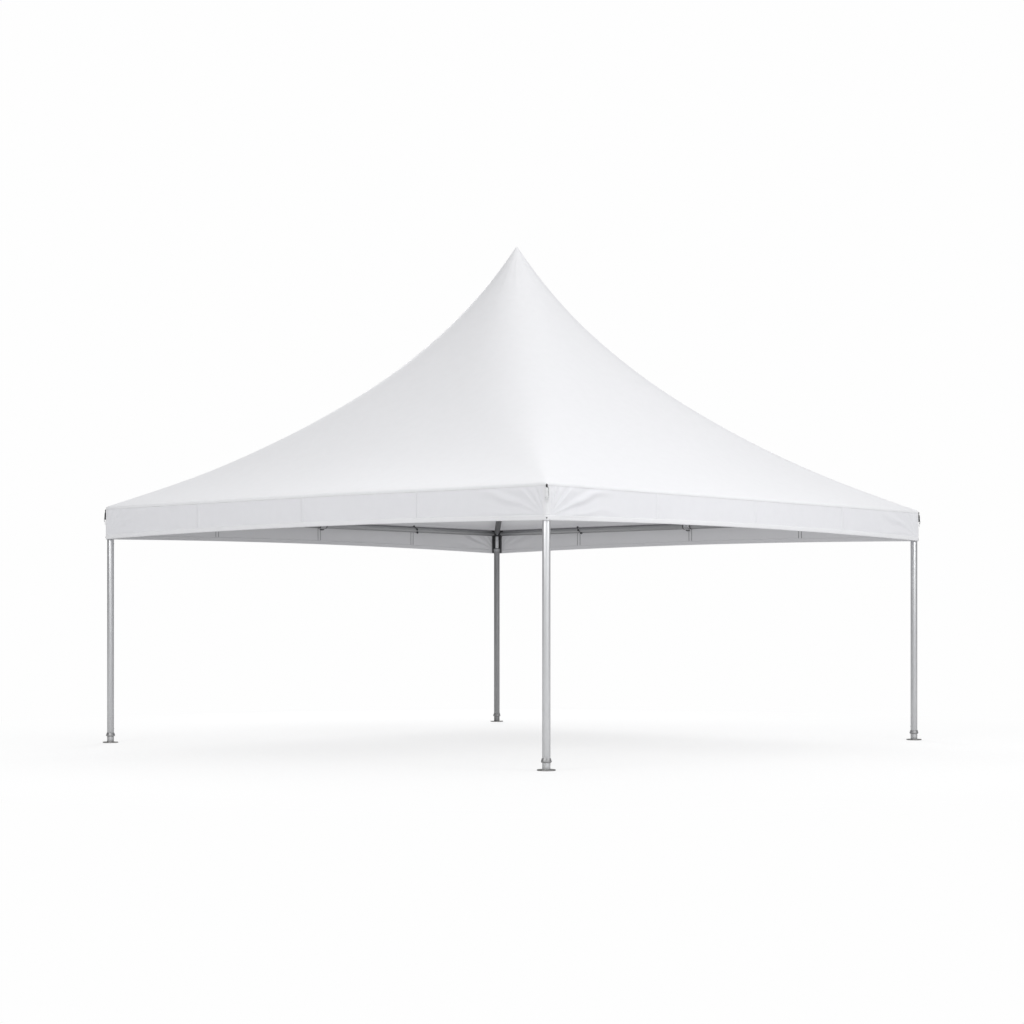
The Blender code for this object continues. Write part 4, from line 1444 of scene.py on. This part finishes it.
# %% [markdown]
# ## Corner fittings
#
# A corner fitting is a sleeve over the top of the leg with three arms: two for the eave tubes
# and one, between them, that rises with the rafter. Its casting is painted near black, as shade.
# A bright plate down the side of the sleeve that faces the middle is a painted highlight. It has a
# thicker rim at its lower end. Welds run round each arm, and a bolt through each arm and two
# through the sleeve hold the tubes. They face the middle of the tent, where a hand gets at them.

# %% Corner fittings
SLEEVE_RADIUS = 0.0385
SLEEVE_BOTTOM = 2.155
SLEEVE_TOP = EAVE_HEIGHT + 0.010
ARM_RADIUS = 0.034
ARM_REACH = 0.0857
RAFTER_ARM_REACH = 0.1097
SLEEVE_PROFILE = [(0, LEG_TOP + 0.0003), (COLLAR_BORE, LEG_TOP + 0.0003), (COLLAR_BORE, SLEEVE_BOTTOM),
                  (SLEEVE_RADIUS, SLEEVE_BOTTOM), (SLEEVE_RADIUS, SLEEVE_TOP - 0.004),
                  (SLEEVE_RADIUS - 0.004, SLEEVE_TOP), (0, SLEEVE_TOP)]
HIGHLIGHT_PLATE_SIZE = (0.006, 0.036, 0.148)       # bright plate on the side that faces the tent's middle: a painted highlight
HIGHLIGHT_PLATE_OUT = SLEEVE_RADIUS + 0.001
HIGHLIGHT_PLATE_MIDDLE = 2.270
RIM_PROFILE = [(SLEEVE_RADIUS - 0.001, 2.156), (0.0412, 2.156), (0.0412, 2.186), (SLEEVE_RADIUS - 0.001, 2.190)]


def arm_places(place):
    """Axes of the three arms of a corner, each along its own Z, with its reach and its tilt."""
    eave = Vector((0, 0, EAVE_HEIGHT))
    foot = Vector((0, 0, RAFTER_FOOT))
    level = math.cos(RAFTER_PITCH) / math.sqrt(2)
    turn = place.to_3x3()
    for start, line, reach, tilt in (
        (eave, Vector((-1, 0, 0)), ARM_REACH, 0.0),
        (eave, Vector((0, -1, 0)), ARM_REACH, 0.0),
        (foot, Vector((-level, -level, math.sin(RAFTER_PITCH))), RAFTER_ARM_REACH, RAFTER_PITCH),
    ):
        begin = place @ start
        yield aim(begin, begin + turn @ line)[0], reach, tilt


for corner in CORNERS:
    place = corner_place(corner)
    whole = new_part()
    add_turned(whole, SLEEVE_PROFILE, place)
    for axis, reach, tilt in arm_places(place):
        add_turned(whole, [(0, 0.010), (ARM_RADIUS, 0.010), (ARM_RADIUS, reach), (0, reach)], axis)
        add_weld(whole, ARM_RADIUS, axis, post=SLEEVE_RADIUS, tilt=tilt)
    # the casting's near-black finish is painted shade
    finish_piece(f"{corner}_casting", whole, shaded_casting, [f"{corner}_corner_fitting"])
    whole = new_part()
    highlight_plate = new_part()
    bmesh.ops.create_cube(highlight_plate, size=1.0)
    bmesh.ops.scale(highlight_plate, vec=HIGHLIGHT_PLATE_SIZE, verts=highlight_plate.verts)
    round_edges(highlight_plate, 0.0014)
    towards = Matrix.Rotation(TOWARDS_MIDDLE, 4, "Z")
    join_part(whole, highlight_plate, place @ towards @ Matrix.Translation((HIGHLIGHT_PLATE_OUT, 0, HIGHLIGHT_PLATE_MIDDLE)))
    # the bright aluminium plate on the dark sleeve is a painted highlight
    finish_piece(f"{corner}_sleeve_painted_highlight", whole, plain_tube)
    whole = new_part()
    add_turned(whole, RIM_PROFILE, place, closed=True)
    finish_piece(f"{corner}_sleeve_rim", whole, cast_alloy)
    whole = new_part()
    first, second, third = arm_places(place)
    for axis, angle in ((first[0], 0.0), (second[0], math.pi)):
        add_bolt(whole, on_tube(axis, 0.056, angle, ARM_RADIUS), size=0.0105)
    add_bolt(whole, on_tube(third[0], 0.094, math.radians(-90), ARM_RADIUS))
    for height in (2.215, 2.290):
        add_bolt(whole, on_tube(place, height, TOWARDS_MIDDLE, HIGHLIGHT_PLATE_OUT + HIGHLIGHT_PLATE_SIZE[0] / 2))
    finish_piece(f"{corner}_bolts", whole, bolt_zinc)
print("corner sleeves from", SLEEVE_BOTTOM, "to", round(SLEEVE_TOP, 3), "m")

# %% [markdown]
# ## Rafters, crown and mast
#
# Four rafters rise from the corners to the crown, a thick hub over the middle of the tent. The
# crown carries a socket for the mast, and the mast pushes the peak of the top up, which is what
# pulls the whole cloth tight. A mushroom head spreads that push, so it doesn't tear the cloth.

# %% Rafters
RAFTER_SETBACKS = (0.110, 0.090)
CROWN_HEIGHT = RAFTER_FOOT + AXIS_OFFSET * math.sqrt(2) * math.tan(RAFTER_PITCH)

for corner in CORNERS:
    foot = corner_place(corner) @ Vector((0, 0, RAFTER_FOOT))
    crown_centre = Vector((0, 0, CROWN_HEIGHT))
    line = (crown_centre - foot).normalized()
    start = foot + line * RAFTER_SETBACKS[0]
    end = crown_centre - line * RAFTER_SETBACKS[1]
    whole = new_part()
    add_tube(whole, start, end)
    # the rafters take the shaded copy of the aluminium: painted shade
    finish_piece(f"{corner}_rafter_tube", whole, shaded_tube, [f"{corner}_rafter"])
    axis, length = aim(start, end)
    whole = new_part()
    for along in (0.045, length - 0.045):
        add_button(whole, on_tube(axis, along, math.radians(-90)))
    finish_piece(f"{corner}_rafter_buttons", whole, bolt_zinc)
print("rafters", round(length, 3), "m long, crown at", round(CROWN_HEIGHT, 3), "m")

# %% Crown
HUB_RADIUS = 0.060
HUB_HALF = 0.060
MAST_SOCKET_RADIUS = 0.037
MAST_RADIUS = 0.030
SOCKET_REACH = 0.220
SPIGOT_RADIUS = 0.0315

crown_place = Matrix.Translation((0, 0, CROWN_HEIGHT))
whole = new_part()
add_turned(whole, [(0, -HUB_HALF), (HUB_RADIUS - 0.006, -HUB_HALF), (HUB_RADIUS, -HUB_HALF + 0.006),
                   (HUB_RADIUS, HUB_HALF - 0.006), (HUB_RADIUS - 0.006, HUB_HALF), (0, HUB_HALF)], crown_place)
add_turned(whole, [(MAST_SOCKET_RADIUS, HUB_HALF - 0.002), (MAST_SOCKET_RADIUS, SOCKET_REACH),
                   (MAST_RADIUS + 0.0003, SOCKET_REACH), (MAST_RADIUS + 0.0003, HUB_HALF - 0.002)],
           crown_place, closed=True)
add_weld(whole, MAST_SOCKET_RADIUS + 0.0008, crown_place @ Matrix.Translation((0, 0, HUB_HALF + 0.0008)))
for corner in CORNERS:
    foot = corner_place(corner) @ Vector((0, 0, RAFTER_FOOT))
    axis = aim(crown_place.translation, foot)[0]
    add_turned(whole, [(0, 0.020), (SPIGOT_RADIUS, 0.020), (SPIGOT_RADIUS, 0.200), (0, 0.200)], axis)
    add_weld(whole, SPIGOT_RADIUS, axis, post=HUB_RADIUS, tilt=-RAFTER_PITCH)
finish_piece("crown_hub", whole, cast_alloy, ["crown"])
whole = new_part()
for height, angle in ((0.100, 0.0), (0.180, 0.0), (0.100, math.pi), (0.180, math.pi)):
    add_bolt(whole, on_tube(crown_place, height, angle, MAST_SOCKET_RADIUS))
finish_piece("crown_bolts", whole, bolt_zinc)
print("crown socket reaches", SOCKET_REACH, "m above the hub's middle")

# %% Mast and its head
low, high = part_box("mast")
head_low, head_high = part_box("mast_head")
HEAD_RADIUS = (head_high.x - head_low.x) / 2
UNDER_CLOTH = 0.0035                     # room left for the cloth over the head


def head_profile():
    """Mushroom that follows the underside of the peak."""
    rim = hip_height(HEAD_RADIUS) - UNDER_CLOTH * 1.8
    points = [(0, head_low.z), (HEAD_RADIUS, head_low.z), (HEAD_RADIUS, rim)]
    for share in (0.8, 0.6, 0.4, 0.25):
        points.append((HEAD_RADIUS * share, hip_height(HEAD_RADIUS * share) - UNDER_CLOTH * 1.8))
    return points + [(0, hip_height(HEAD_RADIUS * 0.25) - UNDER_CLOTH * 1.2)]


whole = new_part()
add_tube(whole, (0, 0, low.z), (0, 0, high.z), radius=MAST_RADIUS)
# the mast takes the shaded copy of the aluminium: painted shade
finish_piece("mast_tube", whole, shaded_tube, ["mast"])
whole = new_part()
add_turned(whole, head_profile(), Matrix(), rounding=0.0015)
finish_piece("mast_mushroom", whole, black_rubber_and_painted_shade, ["mast_head"])
print("mast from", round(low.z, 3), "to", round(high.z, 3), "m")

# %% [markdown]
# ## Ties between the top and the eave tubes
#
# At each quarter of a side a loop of elastic cord goes round the eave tube, at a slant, and
# black balls keep it from slipping off. It holds the top down in wind. The cord starts as a small
# ring that is stretched along the tube as it leans over.

# %% Ties
TIE_CORD = 0.0026
TIE_LEAN = math.radians(-38)
TIE_RADIUS = TUBE_RADIUS + TIE_CORD * 0.8
BALL_RADIUS = 0.0125
TIE_PLACES = {side: (-0.5, 0.5) for side in SIDES}
TIE_PLACES["right"] = (-0.5, 0.535)

for side in SIDES:
    whole = new_part()
    for quarter in TIE_PLACES[side]:
        place = side_place(side) @ Matrix.Translation((0, quarter * FABRIC_HALF, 0))
        leaning = place @ Matrix.Rotation(TIE_LEAN, 4, "X") @ LAID_ALONG
        cord = new_part()
        section = Matrix.Translation((TIE_RADIUS, 0, 0)) @ Matrix.Rotation(math.pi / 2, 4, "X")
        bmesh.ops.create_circle(cord, segments=10, radius=TIE_CORD, matrix=section)
        bmesh.ops.spin(cord, geom=cord.verts[:] + cord.edges[:], axis=(0, 0, 1), cent=(0, 0, 0),
                       angle=2 * math.pi, steps=ROUND_STEPS, use_merge=True)
        bmesh.ops.scale(cord, vec=(1.0, 1 / math.cos(TIE_LEAN), 1.0), verts=cord.verts)
        bmesh.ops.recalc_face_normals(cord, faces=cord.faces)
        join_part(whole, cord, leaning)
        for up in (-0.9, 0.0, 0.9):
            ball = new_part()
            bmesh.ops.create_uvsphere(ball, u_segments=20, v_segments=12, radius=BALL_RADIUS)
            reach = TUBE_RADIUS + BALL_RADIUS * 0.5
            inwards = -reach * math.sqrt(1 - up ** 2)
            spot = Vector((inwards, -up * reach * math.tan(TIE_LEAN), up * reach))
            join_part(whole, ball, place @ Matrix.Translation(spot))
    finish_piece(f"{side}_ties", whole, dark_elastic)
print("ties: 8, with balls", 2000 * BALL_RADIUS, "mm across")

# %% [markdown]
# ## Straps at the corners
#
# The top is pulled down at each corner with a webbing strap. It comes out through a black oval
# eyelet just at the eave, stands a few millimetres off the cloth, and runs through a steel
# frame buckle to a short tail. A small eyelet in the hem lies under it. A black strip under the
# strap, which shows at its right edge, is the strap's painted shadow. All of it is laid in
# places of a corner: how far across, how high, and how far out along the diagonal.

# %% Corner strap
STRAP_WIDTH = 0.026
STRAP_THICKNESS = 0.0018
BUCKLE_HEIGHT = 2.322
BUCKLE_WIDTH = 0.036
BUCKLE_DEPTH = 0.030
STRAP_PATH = [(0.0020, 2.4160), (0.0085, 2.4080), (0.0120, 2.3950), (0.0125, 2.3750), (0.0130, 2.3600),
              (0.0155, 2.3450), (0.0172, 2.3350), (0.0170, 2.3250), (0.0155, 2.3170), (0.0095, 2.3105),
              (0.0080, 2.3020), (0.0085, 2.2920), (0.0100, 2.2840)]
STRAP_SHADOW_PATH = [(0.0015, 2.4140), (0.0055, 2.4040), (0.0060, 2.3900), (0.0060, 2.3700), (0.0062, 2.3500),
            (0.0066, 2.3360)]
STRAP_SHADOW_THICKNESS = 0.0095
STRAP_SHADOW_SHIFT = 0.0022                       # the black painted shadow shows at the strap's right edge


def corner_frame(corner):
    """Matrix of a corner's outer edge: X across it, Y up, Z out along the diagonal."""
    sign_x, sign_y = CORNERS[corner]
    turn = Matrix.Rotation(math.atan2(sign_y, sign_x), 4, "Z")
    axes = Matrix(((0, 0, 1, 0), (1, 0, 0, 0), (0, 1, 0, 0), (0, 0, 0, 1)))
    return turn @ Matrix.Translation((HIP_LENGTH, 0, 0)) @ axes


def smooth_path(points, share):
    """Point of a smooth line through points, at a share of its length."""
    place = min(max(share, 0.0), 1.0) * (len(points) - 1)
    index = min(int(place), len(points) - 2)
    before = Vector(points[max(index - 1, 0)])
    after = Vector(points[min(index + 2, len(points) - 1)])
    start, end = Vector(points[index]), Vector(points[index + 1])
    part = place - index
    bend = (start - before + after - end) * 0.5 * part * (1 - part) * 0.5
    return start.lerp(end, part) + bend


def add_strip(whole, path, width, place, steps):
    """Strip of webbing along a path of (out, height)."""
    part = new_part()
    bmesh.ops.create_grid(part, x_segments=6, y_segments=steps, size=1.0)
    layer = part.loops.layers.uv["metres"]
    length = sum((Vector(a) - Vector(b)).length for a, b in zip(path, path[1:]))
    for face in part.faces:
        for loop in face.loops:
            loop[layer].uv = (loop.vert.co.x * width / 2, (loop.vert.co.y + 1) / 2 * length)
    for vert in part.verts:
        share = (vert.co.y + 1) / 2
        out, height = smooth_path(path, share)
        vert.co = (vert.co.x * width / 2 * (0.6 + 0.4 * ease(share, 0.0, 0.18)), height, out)
    bmesh.ops.recalc_face_normals(part, faces=part.faces)
    bmesh.ops.transform(part, matrix=place, verts=part.verts)
    mesh = bpy.data.meshes.new("part")
    part.to_mesh(mesh)
    part.free()
    whole.from_mesh(mesh)
    bpy.data.meshes.remove(mesh)


for corner in CORNERS:
    place = corner_frame(corner)
    whole = new_part()
    add_strip(whole, STRAP_PATH, STRAP_WIDTH, place, 72)
    strap = finish_piece(f"{corner}_strap", whole, white_webbing, [f"{corner}_corner_strap"])
    give_thickness(strap, STRAP_THICKNESS, 0)
    whole = new_part()
    # the strap's painted shadow: a black strip under it, shifted to its right edge
    add_strip(whole, STRAP_SHADOW_PATH, STRAP_WIDTH, place @ Matrix.Translation((STRAP_SHADOW_SHIFT, 0, 0)), 20)
    strap_shadow = finish_piece(f"{corner}_strap_painted_shadow", whole, black_rubber_and_painted_shade)
    give_thickness(strap_shadow, STRAP_SHADOW_THICKNESS, 0)
print("straps", 1000 * STRAP_WIDTH, "mm wide")

# %% Buckles and eyelets
EYELET_PROFILE = [(0, 0.1), (0.50, 0.1), (0.66, 0.8), (0.86, 1.0), (1.0, 0.5), (1.0, -2.5), (0, -2.5)]
EYELETS = [(2.4260, 0.0030, 0.0080, 0.0160, 0.0045), (2.1520, 0.0012, 0.0060, 0.0060, 0.0022)]

for corner in CORNERS:
    place = corner_frame(corner)
    whole = new_part()
    frame_part = new_part()
    bmesh.ops.create_grid(frame_part, x_segments=1, y_segments=1, size=0.5)
    bmesh.ops.scale(frame_part, vec=(BUCKLE_WIDTH, BUCKLE_DEPTH, 1.0), verts=frame_part.verts)
    bmesh.ops.inset_region(frame_part, faces=frame_part.faces[:], thickness=0.0048)
    window = [face for face in frame_part.faces if abs(face.calc_center_median().x) < 1e-4
              and abs(face.calc_center_median().y) < 1e-4]
    bmesh.ops.delete(frame_part, geom=window, context="FACES")
    bmesh.ops.solidify(frame_part, geom=frame_part.faces[:], thickness=0.0036)
    bmesh.ops.recalc_face_normals(frame_part, faces=frame_part.faces)
    uprights = [edge for edge in frame_part.edges
                if abs((edge.verts[0].co - edge.verts[1].co).normalized().z) > 0.9]
    bmesh.ops.bevel(frame_part, geom=uprights, offset=0.0040, offset_type="OFFSET", segments=5, profile=0.5,
                    affect="EDGES", material=-1, clamp_overlap=True)
    round_edges(frame_part, 0.0011)
    lean = Matrix.Rotation(math.radians(-6), 4, "X")
    join_part(whole, frame_part, place @ Matrix.Translation((0, BUCKLE_HEIGHT, 0.0135)) @ lean)
    bar_end = Vector((BUCKLE_WIDTH / 2 - 0.003, BUCKLE_HEIGHT, 0.0120))
    bar, length = aim(bar_end - Vector((2 * bar_end.x, 0, 0)), bar_end)
    add_turned(whole, [(0, 0), (0.0024, 0), (0.0024, length), (0, length)], place @ bar, rounding=0.0004, steps=20)
    finish_piece(f"{corner}_buckle", whole, buckle_steel)

    whole = new_part()
    for height, out, wide, tall, thick in EYELETS:
        shape = Matrix.Diagonal((wide, tall, thick, 1.0))
        add_turned(whole, EYELET_PROFILE, place @ Matrix.Translation((0, height, out)) @ shape, rounding=0, steps=40)
    finish_piece(f"{corner}_eyelets", whole, black_rubber_and_painted_shade)
print("buckles", 1000 * BUCKLE_WIDTH, "mm wide")
